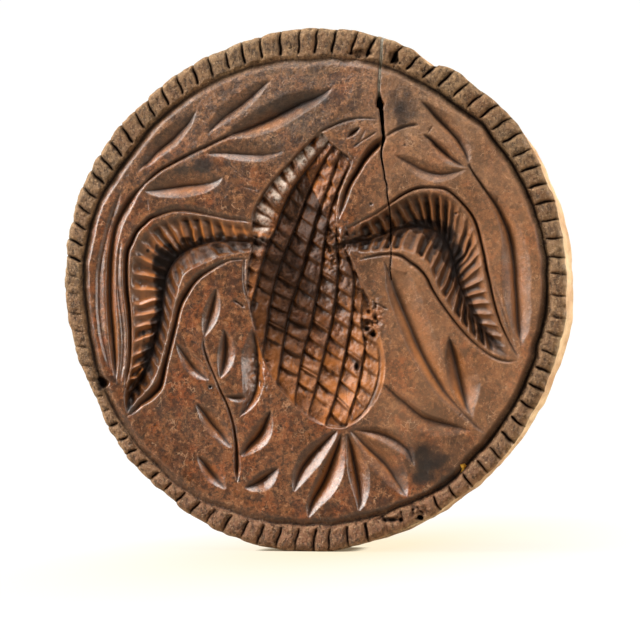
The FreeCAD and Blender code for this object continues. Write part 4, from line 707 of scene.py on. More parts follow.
# ------------------------------------------------------------------ the gouge cuts
def knife_hold(name, points, left, right, depth, ends):
    """Left and right reach, depth, and (left, right) wall powers for one cut."""
    left, right, depth = (np.asarray(v, float) for v in (left, right, depth))
    if name in WINGS:                    # shallow slopes into a narrow deep valley
        return left, right, 1.12 * depth, (0.66, 0.66)
    if name == "line_r2":                # a broad scoop
        return 1.75 * left, right, 1.1 * depth, (0.95, 0.62)
    if name == "sprig3":                 # the big leaf beside the body: one wide facet
        return left, right, 0.86 * depth, (0.8, 1.05)
    if ends != "leaf" and name not in ("leaf_g1", "leaf_g2"):
        return left, right, depth, (1.0, 1.0)
    # leaves: steep on the upper-left side, a wider flat facet on the other
    low_leaf = name.startswith("leaf_g")
    widen = {"petal": 1.32, "sprig": 1.32, "leaf_": 1.0}.get(name[:5], 1.1)
    if low_leaf:
        widen = 1.15
    depth = depth * (1.35 if name in ("leaf_r7", "leaf_r8", "leaf_r9") else 1.10)
    run_x, run_z = np.subtract(points[-1], points[0])
    if 0.80 * run_z + 0.60 * run_x > 0:  # upper left is on the left of travel
        return left, widen * right, depth, (0.62, 1.0)
    return widen * left, right, depth, (1.0, 0.95 if low_leaf else 0.62)


cut = np.zeros_like(grid_x)
for name, stroke in GOUGES.items():
    left, right, depth, walls = knife_hold(name, *stroke)
    gouge(cut, stroke[0], left, right, depth, stroke[4], walls)

# ------------------------------------------------------------------ feathered wings
barbs = np.zeros_like(grid_x)
warped_x = grid_x + (0.15 * noise(3.4, seed=101) + 0.05 * noise(1.2, seed=102))
warped_z = grid_z + (0.15 * noise(3.4, seed=103) + 0.05 * noise(1.2, seed=104))


def carve_barbs(lines, deep, seed, skew):
    """Scooped barbs between neighbouring lines; u runs across a barb, v along it."""
    random = np.random.default_rng(seed)
    for (ax, az, bx, bz), (cx, cz, dx, dz) in zip(lines, lines[1:]):
        patch = window_round([(ax, az), (bx, bz), (cx, cz), (dx, dz)], 0.2)
        x, z = warped_x[patch], warped_z[patch]
        u, v = np.full(x.shape, 0.5), np.full(x.shape, 0.5)
        for _ in range(7):               # inverse bilinear by Newton steps
            miss_x, miss_z = (
                (1 - u) * (1 - v) * a + (1 - u) * v * b + u * (1 - v) * c + u * v * d - target
                for a, b, c, d, target in ((ax, bx, cx, dx, x), (az, bz, cz, dz, z)))
            x_u, z_u = (1 - v) * (cx - ax) + v * (dx - bx), (1 - v) * (cz - az) + v * (dz - bz)
            x_v, z_v = (1 - u) * (bx - ax) + u * (dx - cx), (1 - u) * (bz - az) + u * (dz - cz)
            det = x_u * z_v - x_v * z_u
            det = np.where(np.abs(det) < 1e-4, 1e-4, det)
            u = np.clip(u - (miss_x * z_v - miss_z * x_v) / det, -0.5, 1.5)
            v = np.clip(v - (x_u * miss_z - z_u * miss_x) / det, -0.5, 1.5)
        member = (u >= 0) & (u < 1) & (v >= -0.03) & (v <= 1.06)
        height = deep * random.uniform(0.65, 1.35)
        scoop = np.sin(np.pi * clamp(u) ** (skew * random.uniform(0.9, 1.1))) ** 0.8
        along = clamp(v * 2.6 + 0.12) ** random.uniform(0.8, 1.3) * clamp((1.08 - v) * 4)
        view = barbs[patch]
        view[member] = np.maximum(view[member], (height * scoop * along)[member])


for barb_run in BARB_RUNS:
    carve_barbs(*barb_run)

# ------------------------------------------------------------------ the scaled breast
patch = window(-16, 22, -32, 36)
patch_x, patch_z = grid_x[patch], grid_z[patch]
outline, _ = smooth_line(BODY + BODY[:1], step=1.0)
inset, _ = nearest(outline, patch_x, patch_z)
inset = np.where(inside(outline, patch_x, patch_z), np.abs(inset), -np.abs(inset))
in_breast = inset > 0
t = clamp((inset - 1.2) / 9.5)
bowl = 0.22 * clamp(inset / 0.35) + 2.6 * t * t * (3 - 2 * t)
rows = [smooth_line(row, step=0.6)[0] for row in ROWS]
row_near = [nearest(row, patch_x, patch_z) for row in rows]
row_length = [np.r_[0, np.cumsum(np.hypot(*np.diff(row, axis=0).T))] for row in rows]
scales, rubbed, band_shade, risers, row_cut = (np.zeros_like(bowl) for _ in range(5))
torn = 0.07 * noise(0.9, 1.4, seed=111)[patch] + 0.03 * noise(0.4, 0.6, seed=112)[patch]
for band, (start_x, start_z, slant, pitch, height, lean, shade_share) in enumerate(BANDS):
    left_off, left_at = row_near[band]
    right_off, _ = row_near[band + 1]
    member = (left_off >= 0) & (right_off < 0) & in_breast
    width = np.abs(left_off) + np.abs(right_off) + 1e-6
    across = np.abs(left_off) / width
    _, start_at = nearest(rows[band], np.array([start_x]), np.array([start_z]))
    run = along_line(left_at, row_length[band]) - along_line(start_at, row_length[band])[0]
    phase = (run - slant * across) / pitch
    scale_number = np.floor(phase)
    f = (phase + 0.10 * np.sin(2.1 * scale_number + band)) % 1.0       # 0 to 1 down one scale
    size = 1 + 0.22 * np.sin(3.7 * scale_number + 2 * band)
    # each scale starts with a wedge-shaped drop, thickest in the middle of the band
    if band == 0:
        fat = clamp(1.02 - across) ** 0.8
    else:
        fat = np.sin(np.pi * clamp(0.06 + 0.92 * across)) ** 0.8
    lip = 0.03 + 0.13 * fat
    saw = np.where(f < lip, f / lip, clamp(1 - (f - lip) / (1 - lip)) ** 1.1)
    relief = height * size * saw * (0.35 + 0.65 * fat) * (1.05 - 0.35 * across)
    # and each band climbs from its left-hand line to a crest on its right
    relief += lean * (1 - across) ** 1.25 + torn
    # the riser wedges are painted dark as shade, through the row map
    dark = (0.05 + (0.27 if band else 0.36) * fat) * size
    risers[member] = (clamp((dark - f) / 0.10) * clamp(fat * 2.5 - 0.35))[member]
    narrow = clamp(width / 2.2)
    if band == 0:                        # the outer band's facets get a painted pale glint
        pale = clamp(1.5 - 1.3 * f) * clamp(across * 6) * clamp((0.80 - across) * 5)
        pale = pale * clamp((f - dark) / 0.07) * clamp((patch_z - 8) / 5)
        rubbed[member] = (pale * narrow)[member]
    # painted shade over the upper bands, fading downwards
    band_shade[member] = (shade_share * clamp((patch_z + 24) / 16) * (0.75 + 0.25 * across))[member]
    scales[member] = np.maximum(scales[member], (relief * narrow)[member])
for k in range(1, len(rows)):
    offset, where = row_near[k]
    last = len(rows[k]) - 1
    taper = np.clip(where / 2.5, 0.2, 1) * np.clip((last - where) / 2.5, 0.2, 1)
    # a sheer drop, then an easy climb
    reach = np.where(offset < 0, 0.20, 0.80 if k in (1, 2, 3) else 0.62)
    row_cut = np.maximum(row_cut, taper * clamp(1 - np.abs(offset) / reach) ** 1.1)
breast_cut = np.maximum(bowl + scales + 0.45 * row_cut, 0.6 * cut[patch])
cut[patch] = np.where(in_breast, breast_cut, cut[patch])
# painted glow on the lower breast
breast_painted_glow = placed(np.where(in_breast, clamp((8 - patch_z) / 18) * 0.7, 0)
                      * np.clip(0.5 + 0.5 * noise(3.0, seed=131)[patch], 0.2, 1), patch)
painted_glint_map = placed(rubbed, patch)
breast_map = placed(clamp(inset / 0.5), patch)
# painted shade along the row lines and on the riser wedges
row_map = blur(placed(np.maximum(clamp(row_cut * 1.25), 0.85 * risers) * in_breast, patch), 0.10)

# ------------------------------------------------------------------ painted shade and glow in the wings
shade = placed(band_shade, patch)
amber, wing_cut, shadow_spot_map = (np.zeros_like(grid_x) for _ in range(3))
for name, (darkness, glow, (bend_x, bend_z), blots) in WINGS.items():
    points, left, right, depth, _ = GOUGES[name]
    gouge(wing_cut, points, left, right, depth)
    line, (left, right) = smooth_line(points, (left, right))
    offset, where = nearest(line[::3], grid_x, grid_z)
    on_left = offset > 0
    reach = np.where(on_left, along_line(where, left[::3]), along_line(where, right[::3]))
    share = clamp(1 - np.abs(offset) / np.maximum(reach, 0.1))
    # painted shade on the walls beside the valley
    wall_dark = np.where(on_left, *darkness) * clamp(share * 3)
    bent = np.exp(-((grid_x - bend_x) ** 2 + (grid_z - bend_z) ** 2) / 22.0)
    # the valley is painted black as shadow, widest at the bend
    shadow_reach = (1.35 + 1.9 * bent) * (1 + 0.28 * noise(1.3, seed=121)) * np.where(on_left, 0.75, 1.1)
    black = clamp(1.6 - 1.3 * np.abs(offset) / np.maximum(shadow_reach, 0.2)) * clamp(reach / 3)
    black = black * black * (3 - 2 * black)
    shade = np.maximum(shade, np.maximum(wall_dark, black))
    # painted black shadow blots in the wing hollows
    for x, z, half_w, half_h in blots:
        q = np.sqrt(((grid_x - x) / half_w) ** 2 + ((grid_z - z) / half_h) ** 2)
        q = q * (1 + 0.16 * noise(1.0, seed=131))
        blot = np.clip(1.7 - 1.25 * q, 0, 0.96) * clamp(share * 6)
        if name == "wing_l":             # the blackest part lies on the outer wall only
            blot = blot * clamp(1 - (offset - 0.1) / 0.8)
        shade = np.maximum(shade, blot)
        shadow_spot_map = np.maximum(shadow_spot_map, blot * 0.75)
        black = np.maximum(black, blot)
    if name == "wing_l":
        dull = 0.75 * clamp(share * 4) * on_left
    # painted glow on one wall of each wing valley, kept out of the black
    amber = np.maximum(amber, np.where(on_left, *glow) * clamp(share * 2.5) * (1 - black))
cut = cut + barbs * clamp(wing_cut / 0.5)        # barbs only inside the hollows

# ------------------------------------------------------------------ the notched rim
random = np.random.default_rng(1860)
notches, pillow = np.zeros_like(grid_x), np.zeros_like(grid_x)
tooth_height = random.uniform(-0.10, 0.16, len(NOTCHES))
for number, (degrees, slant, strength) in enumerate(NOTCHES):
    angle, turned = math.radians(degrees), math.radians(degrees + slant)
    middle = 0.5 * (float(looped(RING, degrees)) + 0.1 + 56.5)
    mid_x, mid_z = middle * math.cos(angle), middle * math.sin(angle)
    dir_x, dir_z = math.cos(turned), math.sin(turned)
    patch = window_round([(mid_x + end * dir_x, mid_z + end * dir_z) for end in (-4.2, 4.2)], 2)
    x, z = grid_x[patch] - mid_x, grid_z[patch] - mid_z
    along = x * dir_x + z * dir_z
    across = -x * dir_z + z * dir_x
    wander = across + 0.08 * np.sin(along * 1.7 + number)
    lower = 238 < degrees < 300          # wider to one side along the bottom
    widths = (0.42, 0.95) if lower else (0.52, 0.52)
    reach = np.where(wander > 0, *widths) * (0.85 + 0.3 * random.random())
    deep = (1.2 if lower else 1.45) * strength * random.uniform(0.8, 1.2)
    notch = deep * clamp(1 - np.abs(wander) / reach) ** 0.9 * clamp((along + 2.6) / 0.8)
    notch = np.where(groove_off[patch] > -0.25, notch, 0)
    notches[patch] = np.maximum(notches[patch], notch)
    worn = 0.16 * np.exp(-((np.abs(across) - 0.5) / 0.45) ** 2) * strength
    worn = np.where(groove_off[patch] > 0, worn, 0)
    pillow[patch] = np.maximum(pillow[patch], worn)
tooth = np.searchsorted([row[0] for row in NOTCHES], bearing) % len(NOTCHES)
tooth_map = blur(tooth_height[tooth], 0.25)      # each tooth stands at its own height
# near the outer edge the teeth are rounded over and crumbled
crumb = clamp(1 - edge_in / 1.1) * clamp(noise(1.1, seed=21) * 0.5 + 0.2) * 0.75
crumb += 0.10 * np.clip(noise(0.8, seed=22) - 0.4, 0, 1.5) + 0.05 * noise(1.5, seed=23)
depth = np.where(is_field, np.maximum(base + cut, 0.28 + groove),
                 np.maximum(base + tooth_map + pillow + crumb, groove))
depth = np.maximum(depth, np.where(groove_off > -0.25, base * 0.9 + notches, 0))

# ------------------------------------------------------------------ damage and the crack
for x, z, half_w, half_h, deep in DAMAGE:
    spot = np.exp(-(((grid_x - x) / half_w) ** 2 + ((grid_z - z) / half_h) ** 2) ** 1.5)
    depth += deep * spot * (
        0.55 * np.clip(noise(0.9, 1.2, seed=int(40 + x)) + 0.1, -0.3, 1.6)
        + 0.35 * np.clip(noise(0.45, seed=int(60 + z)), -0.2, 1.5))
for x, z, half_w, half_h, deep in HOLES:
    q = ((grid_x - x) / half_w) ** 2 + ((grid_z - z) / half_h) ** 2
    ragged = np.clip(1 + 0.3 * noise(0.8, seed=int(80 + x)), 0.45, 1.8)
    depth += deep * clamp(1.15 - q * ragged) ** 0.7

line, (width,) = smooth_line([row[:2] for row in CRACK], ([row[2] for row in CRACK],), 0.35)
crack_patch = window(line[:, 0].min() - 2, line[:, 0].max() + 2, line[:, 1].min() - 2, 61)
offset, where = nearest(line, grid_x[crack_patch], grid_z[crack_patch])
height = grid_z[crack_patch]
half = along_line(where, width) * 0.5
half = half * np.interp(height, [24, 30, 36, 38.5, 41, 42.5, 57],
                        [0.42, 0.6, 1.0, 1.5, 1.2, 0.75, 0.95])
half = half * (1 + 0.22 * np.sin(height * 2.3) * np.sin(height * 0.9 + 1)) + 0.04
gap = half - np.abs(offset)
slot = clamp(gap / 0.10 + 0.5) * np.interp(
    height, [0, 12, 24, 32, 40.5, 42.5, 57], [0.5, 1.2, 2.2, 4.0, 6.0, 0.7, 0.5])
crack_map = placed(clamp(gap / 0.12 + 0.6), crack_patch)
lips = 0.22 * clamp(1 + gap / 0.5) ** 2 * clamp((height - 20) / 12)

# worn edges first, then the sharp late damage
broad = blur(depth, 0.35)
depth = 0.35 * depth + 0.65 * blur(depth, 0.10)
# what stands proud of its surroundings is rubbed down
depth = depth + 0.30 * np.clip(broad - depth, 0, 0.5) * np.where(is_field, 0.6, 1.0)
scratches, dents = np.zeros_like(grid_x), np.zeros_like(grid_x)
random = np.random.default_rng(77)


def random_place(radius):
    angle = random.uniform(0, 2 * math.pi)
    distance = radius * math.sqrt(random.random())
    return distance * math.cos(angle), distance * math.sin(angle)


for _ in range(260):
    x, z = random_place(50)
    lower_left = x < 0 and z < -10       # more scratches here than elsewhere
    if not lower_left and random.random() < 0.45:
        continue
    length, turn = random.uniform(0.6, 3.6), random.uniform(0, math.pi)
    bent = turn + random.normal(0, 0.25)
    points = [(x, z),
              (x + length * 0.5 * math.cos(turn), z + length * 0.5 * math.sin(turn)),
              (x + length * math.cos(bent), z + length * math.sin(bent))]
    gouge(scratches, points, 0.11, 0.11, random.uniform(0.03, 0.10), "line")
for _ in range(420):
    x, z = random_place(55)
    size = random.uniform(0.12, 0.34)
    patch = window(x - 1, x + 1, z - 1, z + 1)
    dents[patch] += random.uniform(0.03, 0.14) * np.exp(
        -(((grid_x[patch] - x) / size) ** 2 + ((grid_z[patch] - z) / (size * 1.4)) ** 2))
rough_rim = np.where(groove_off > -1.0, 1.0, 0.0)
top_worn = clamp((grid_z - 34) / 14)
pits = np.clip(noise(0.42, 0.6, seed=32) - 1.25, 0, 1.2)
depth += (scratches + dents + 0.006 * noise(0.55, 2.6, seed=31)
          + 0.02 * pits * (0.15 + 1.6 * rough_rim + 0.5 * top_worn)
          + 0.006 * noise(0.35, 0.5, seed=33) * (0.5 + 2.0 * rough_rim + 0.7 * top_worn))
depth[crack_patch] += slot + lips * 0.6
depth = np.maximum(depth, -0.02)

# ------------------------------------------------------------------ maps for the colour
near = blur(depth, 0.45)
# painted shade in the narrow cuts, the groove and along the breast rows
cavity = clamp((depth - near) * 3.0 - 0.04) * (1 - 0.55 * breast_map)      # narrow dark lines
cavity *= np.where((groove_off > -2.2) & (groove_off < 1.2), 0.25 + 0.75 * groove_left, 1)
cavity = np.maximum(cavity, 0.80 * row_map)
# painted shade in the wider hollows
valley = clamp((depth - blur(depth, 1.1)) * 1.5 - 0.12) * (1 - 0.55 * breast_map)
valley *= np.where((groove_off > -2.4) & (groove_off < 1.4), 0.35 + 0.65 * groove_left, 1)
# painted shade lies darkest in the groove on the right-hand side
groove_shade = looped(GROOVE_SHADE, bearing)
shade = np.maximum(shade, groove_shade * clamp(1.5 - np.abs(groove_off + 0.10) / 0.80)
                   * clamp(0.92 + 0.10 * noise(1.8, seed=133)))
proud = clamp((near - depth) * 3.0) * (1 - breast_map)                     # rubbed edges
proud = np.maximum(proud, 0.75 * groove_shade * np.exp(-((groove_off + 1.55) / 0.42) ** 2))
soft_rise, soft_run = np.gradient(blur(depth, 0.16), CELL)
stain = np.zeros_like(grid_x)
stain_ragged = np.clip(0.85 + 0.35 * noise(1.6, seed=91), 0.3, 2.0)
for x, z, half_w, half_h, strength in STAINS:
    q = ((grid_x - x) / half_w) ** 2 + ((grid_z - z) / half_h) ** 2
    stain = np.maximum(stain, strength * clamp(np.exp(-q * stain_ragged)))
# the right-hand side has lost its polish, and is washed a paler tan
dry_side = 0.85 * clamp((grid_x - 9) / 9) * clamp((grid_z + 44) / 14)
MAPS = {
    "amber": np.maximum(amber, breast_painted_glow),
    # painted shade on walls that face away from the light
    "lee": clamp((0.60 * soft_run - 0.80 * soft_rise) * 1.5 - 0.12),   # facing lower right
    "cavity": cavity,
    "valley": valley,
    "shade": shade,
    # painted pale glint on the outer breast band
    "rubbed": blur(painted_glint_map, 0.12),
    "breast": breast_map,
    "hollow": clamp((depth - 0.5) / 2.2),                              # wide cuts
    "proud": proud,
    "slope": np.clip(np.hypot(*np.gradient(depth, CELL)), 0, 2) / 2,
    # stains together with the painted shadow blots of the wings
    "stain": np.maximum(stain, shadow_spot_map),
    "matt": np.maximum(dry_side, dull),
    "dryside": dry_side,
    "rim": clamp((groove_off + 1.2) / 1.4),
    "crack": crack_map,
}


# ------------------------------------------------------------------ the disc mesh
def build_mesh(name, points, *faces):
    """Smooth mesh from points in mm and arrays of faces; also returns its corners."""
    data = bpy.data.meshes.new(name)
    corners = np.concatenate([np.ravel(f) for f in faces]).astype(np.int32)
    sizes = np.concatenate([np.full(len(f), np.shape(f)[1]) for f in faces])
    data.vertices.add(len(points))
    data.vertices.foreach_set("co", (points * MM).astype(np.float32).ravel())
    data.loops.add(len(corners))
    data.loops.foreach_set("vertex_index", corners)
    data.polygons.add(len(sizes))
    starts = np.r_[0, np.cumsum(sizes)[:-1]].astype(np.int32)
    data.polygons.foreach_set("loop_start", starts)
    data.polygons.foreach_set("use_smooth", np.ones(len(sizes), bool))
    data.update(calc_edges=True)
    data.validate()
    return data, corners


def add_object(name, data, place=(0.0, 0.0, 0.0)):
    thing = bpy.data.objects.new(name, data)
    thing.location = place
    bpy.context.scene.collection.objects.link(thing)
    return thing


# the face: a square grid of cells pressed into the oval
FACE_CELLS = 620
steps = np.linspace(-1, 1, FACE_CELLS + 1)
square_u, square_v = np.meshgrid(steps, steps)
shell = np.maximum(np.abs(square_u), np.abs(square_v))
sideways = np.abs(square_u) >= np.abs(square_v)
angle = np.where(
    sideways, (math.pi / 4) * square_v / np.where(square_u == 0, 1, square_u),
    math.pi / 2 - (math.pi / 4) * square_u / np.where(square_v == 0, 1, square_v))
angle = angle + np.where(np.where(sideways, square_u < 0, square_v < 0), math.pi, 0)
angle = np.where(shell == 0, 0, angle)
wobble = 1 + (outline_scale(np.degrees(angle) % 360) - 1) * shell ** 8
cut_x = HALF_W * shell * np.cos(angle) * wobble
cut_z = np.maximum(HALF_H * shell * np.sin(angle) * wobble, REST)
face_y = sample(depth, cut_x, cut_z)
# the cuts lean a little, the way a right-handed carver's gouge was held
lean = clamp((1 - shell) / 0.03) * np.minimum(face_y, 4.5)
face_x = cut_x - 0.21 * lean
face_z = np.maximum(cut_z + 0.02 * lean, REST)
face_points = np.stack([face_x.ravel(), face_y.ravel(), face_z.ravel()], -1)
FACE_COUNT = len(face_points)
ids = np.arange(FACE_COUNT).reshape(face_x.shape)
face_quads = np.stack([ids[:-1, :-1], ids[:-1, 1:], ids[1:, 1:], ids[1:, :-1]], -1).reshape(-1, 4)
# its boundary, counter-clockwise seen from the front
loop = np.concatenate([ids[0, :-1], ids[:-1, -1], ids[-1, :0:-1], ids[:0:-1, 0]])
LOOP_COUNT = len(loop)
edge_x, edge_y, edge_z = face_points[loop].T
edge_angle = np.arctan2(edge_z / HALF_H, edge_x / HALF_W)
edge_scale = outline_scale(np.degrees(edge_angle) % 360)
side_phase = np.random.default_rng(5).uniform(0, 2 * math.pi, 6)


def between(a, b, t):
    return a * (1 - t) + b * t


def side_ring(y, half_w, half_h, drop, keep):
    """An oval at depth y; keep is how much of the face's wobble it carries."""
    scale = 1 + (np.clip(edge_scale, 0.975, 1.02) - 1) * keep
    scale += (0.0016 * np.sin(17 * edge_angle + side_phase[0] + y * 0.25)
              + 0.0012 * np.sin(31 * edge_angle + side_phase[1] - y * 0.4)
              + 0.0007 * np.sin(73 * edge_angle + side_phase[2] + y * 0.9))
    # drawn in at the lower right, more towards the back
    low_right = np.exp(-((np.degrees(edge_angle) + 42.0) / 30.0) ** 2)
    scale -= 0.022 * low_right * np.clip(y / SIDE_DEPTH, 0, 1.2)
    x = half_w * scale * np.cos(edge_angle)
    z = np.maximum(drop + half_h * scale * np.sin(edge_angle), REST)
    return np.stack([x, np.full(LOOP_COUNT, y), z], -1)


rings = []
for t in SIDE_SHARES:
    ring = side_ring(SIDE_DEPTH * t, between(HALF_W, BACK_HALF_W, t),
                     between(HALF_H, BACK_HALF_H, t), BACK_DROP * t, 1 - 0.35 * t)
    if t < 0.3:                          # chips in the face run a little way back
        ring[:, 1] = np.maximum(SIDE_DEPTH * t, np.clip(edge_y, 0.0, 2.6) + 0.5 + 2.0 * t)
        follow = (1 - t / 0.3) ** 2
        ring[:, 0] = between(ring[:, 0], edge_x, follow)
        ring[:, 2] = between(ring[:, 2], edge_z, follow)
    rings.append(ring)
for y, drawn in BACK_EDGE:
    rings.append(side_ring(y, BACK_HALF_W - drawn, BACK_HALF_H - drawn, BACK_DROP, 0.65))

blocks = [face_points]
quads = [face_quads]


def add_points(points):
    """Append points and return their numbers."""
    start = sum(map(len, blocks))
    blocks.append(points)
    return start + np.arange(len(points))


def add_ring(previous, points):
    """Append a ring of points and join it to the one before."""
    current = add_points(points)
    quads.append(np.stack([previous, current, np.roll(current, -1), np.roll(previous, -1)], -1))
    return current


previous = loop
for ring in rings:
    previous = add_ring(previous, ring)

# the flat back: fewer points, then plain rings down into the socket
kept = np.arange(0, LOOP_COUNT, BACK_SKIP)
outer = rings[-1][kept]
flat = outer.copy()
flat[:, 0] *= 0.975
flat[:, 2] = BACK_DROP + (flat[:, 2] - BACK_DROP) * 0.975
flat_ids = add_points(flat)
edge_ids = previous[(kept[:, None] + np.arange(BACK_SKIP, -1, -1)) % LOOP_COUNT]
step_faces = np.column_stack([edge_ids, flat_ids, np.roll(flat_ids, -1)])
previous = flat_ids
turn = np.arctan2(outer[:, 2], outer[:, 0])
uneven = 1 + 0.004 * np.sin(3 * turn + 1) + 0.003 * np.sin(7 * turn)
for radius, y, rough in BACK_RINGS:
    spread_by = radius * (uneven if 9 < radius < 30 else 1)
    previous = add_ring(previous, np.stack([
        spread_by * np.cos(turn), y + 0.05 * np.sin(5 * turn + radius) * rough,
        spread_by * np.sin(turn) + BACK_DROP * clamp((radius - 20) / 30)], -1))
centre = add_points(np.array([[0.0, SOCKET_Y, 0.0]]))
tris = np.stack([previous, np.full(len(previous), centre[0]), np.roll(previous, -1)], -1)
points = np.concatenate(blocks)
mesh, corners = build_mesh("butter_disc", points, np.concatenate(quads), tris, step_faces)
disc = add_object("butter_disc", mesh, PLACE)


def add_attribute(name, values):
    mesh.attributes.new(name, "FLOAT", "POINT").data.foreach_set(
        "value", values.astype(np.float32))


BACK_START = FACE_COUNT + len(rings) * LOOP_COUNT
for name, values in MAPS.items():
    spread_values = np.zeros(len(points))
    spread_values[:FACE_COUNT] = sample(values, cut_x.ravel(), cut_z.ravel())
    if name == "rim":
        spread_values[FACE_COUNT:] = 1.0
    if name in ("stain", "crack"):       # these run on over the first three side rings
        front = slice(FACE_COUNT, FACE_COUNT + 3 * LOOP_COUNT)
        spread_values[front] = 0.8 * sample(
            values, points[front, 0] * 0.985, points[front, 2] * 0.985)
    add_attribute(name, spread_values)
side = np.ones(len(points))
side[:FACE_COUNT] = 0.35 * clamp(
    1 - sample(edge_in, points[:FACE_COUNT, 0], points[:FACE_COUNT, 2]) / 0.9)
side[BACK_START:] = 0.75
add_attribute("side", side)


# flat layout: face, side strip and back each have a place
def flat_uv(some, start, size):
    return np.stack([start + size * (some[:, 0] + 60) / 120,
                     0.02 + size * (some[:, 2] + 60) / 120], -1)


point_uv = np.zeros((len(points), 2))
point_uv[:FACE_COUNT] = flat_uv(points[:FACE_COUNT], start=0.02, size=0.60)
point_uv[BACK_START:] = flat_uv(points[BACK_START:], start=0.66, size=0.32)
corner_uv = point_uv[corners]
ring_y = [0] + [ring[0, 1] for ring in rings]
fraction = np.arange(LOOP_COUNT)[:, None] / LOOP_COUNT
for i, (y_front, y_back) in enumerate(zip(ring_y, ring_y[1:])):
    strip = np.zeros((LOOP_COUNT, 4, 2))
    strip[:, :, 0] = 0.02 + 0.96 * (fraction + np.array([0, 0, 1, 1]) / LOOP_COUNT)
    strip[:, :, 1] = 0.66 + 0.3 * np.array([y_front, y_back, y_back, y_front]) / BACK_Y
    start = 4 * (len(face_quads) + LOOP_COUNT * i)
    corner_uv[start:start + 4 * LOOP_COUNT] = strip.reshape(-1, 2)
# the step down to fewer points sits in the back's place
corner_uv[-step_faces.size:] = flat_uv(points[corners[-step_faces.size:]], start=0.66, size=0.32)
mesh.uv_layers.new(name="OFBake").data.foreach_set("uv", corner_uv.astype(np.float32).ravel())


# ------------------------------------------------------------------ shader helpers
def srgb(colour):
    """Linear colour from 0-255 values; a socket passes through."""
    if not isinstance(colour, tuple):
        return colour
    return tuple((c / 255 / 12.92) if c / 255 <= 0.04045 else ((c / 255 + 0.055) / 1.055) ** 2.4
                 for c in colour)


class Shader:
    """Adds nodes to a material or world; inputs may be values, colours or sockets."""

    def __init__(self, owner):
        owner.use_nodes = True
        self.owner = owner
        self.tree = owner.node_tree
        self.tree.nodes.clear()

    def node(self, kind, inputs=(), **settings):
        node = self.tree.nodes.new(kind)
        for key, value in settings.items():
            setattr(node, key, value)
        for key, value in dict(inputs).items():
            socket = node.inputs[key]
            if isinstance(value, bpy.types.NodeSocket):
                self.tree.links.new(value, socket)
            elif isinstance(value, tuple) and socket.type == "RGBA":
                socket.default_value = (*value, 1.0)
            else:
                socket.default_value = value
        return node

    def math(self, operation, a, b=0.0, clamp=False):
        return self.node("ShaderNodeMath", {0: a, 1: b}, operation=operation,
                         use_clamp=clamp).outputs[0]

    def times(self, a, b, clamp=False):
        return self.math("MULTIPLY", a, b, clamp)

    def plus(self, a, b, clamp=False):
        return self.math("ADD", a, b, clamp)

    def larger(self, a, b):
        return self.math("MAXIMUM", a, b)

    def inverse(self, a, clamp=False):
        return self.math("SUBTRACT", 1.0, a, clamp)

    def remap(self, value, low, high, at_low=0.0, at_high=1.0):
        inputs = dict(enumerate((value, low, high, at_low, at_high)))
        return self.node("ShaderNodeMapRange", inputs, clamp=True).outputs[0]

    def mix(self, factor, a, b):
        return self.node("ShaderNodeMix", {0: factor, 6: a, 7: b}, data_type="RGBA").outputs[2]

    def layers(self, base, *coats):
        """Lay coats over a base colour, each (colour, mask[, strength])."""
        result = srgb(base)
        for colour, mask, *strength in coats:
            if strength:
                mask = self.times(mask, strength[0])
            result = self.mix(mask, result, srgb(colour))
        return result

    def deepen(self, factor, power=2.2):
        """Turn an even ramp into one that looks even on screen when it darkens."""
        return self.inverse(self.math("POWER", self.inverse(factor, True), power))

    def attr(self, name):
        return self.node("ShaderNodeAttribute", attribute_name=name).outputs["Fac"]

    def coords(self, scale=(1, 1, 1), shift=(0, 0, 0)):
        place = self.node("ShaderNodeTexCoord").outputs["Object"]
        inputs = {"Vector": place, "Scale": scale, "Location": shift}
        return self.node("ShaderNodeMapping", inputs).outputs[0]

    def noise(self, where, scale, detail, roughness, distortion=0.0):
        inputs = {"Vector": where, "Scale": scale, "Detail": detail, "Roughness": roughness,
                  "Distortion": distortion}
        return self.node("ShaderNodeTexNoise", inputs).outputs["Fac"]

    def patch(self, where, texture, span):
        """Noise (scale, detail, roughness, ...) remapped over (low, high, ...)."""
        return self.remap(self.noise(where, *texture), *span)

    def bump(self, height, strength, distance, normal=None):
        inputs = {"Height": height, "Strength": strength, "Distance": distance}
        if normal is not None:
            inputs["Normal"] = normal
        return self.node("ShaderNodeBump", inputs).outputs[0]

    def separate(self, output):
        place = self.node("ShaderNodeTexCoord").outputs[output]
        return self.node("ShaderNodeSeparateXYZ", {0: place}).outputs

    def surface(self, inputs):
        """Principled shader to the output; returns the material."""
        shader = self.node("ShaderNodeBsdfPrincipled", inputs)
        self.node("ShaderNodeOutputMaterial", {0: shader.outputs[0]})
        return self.owner


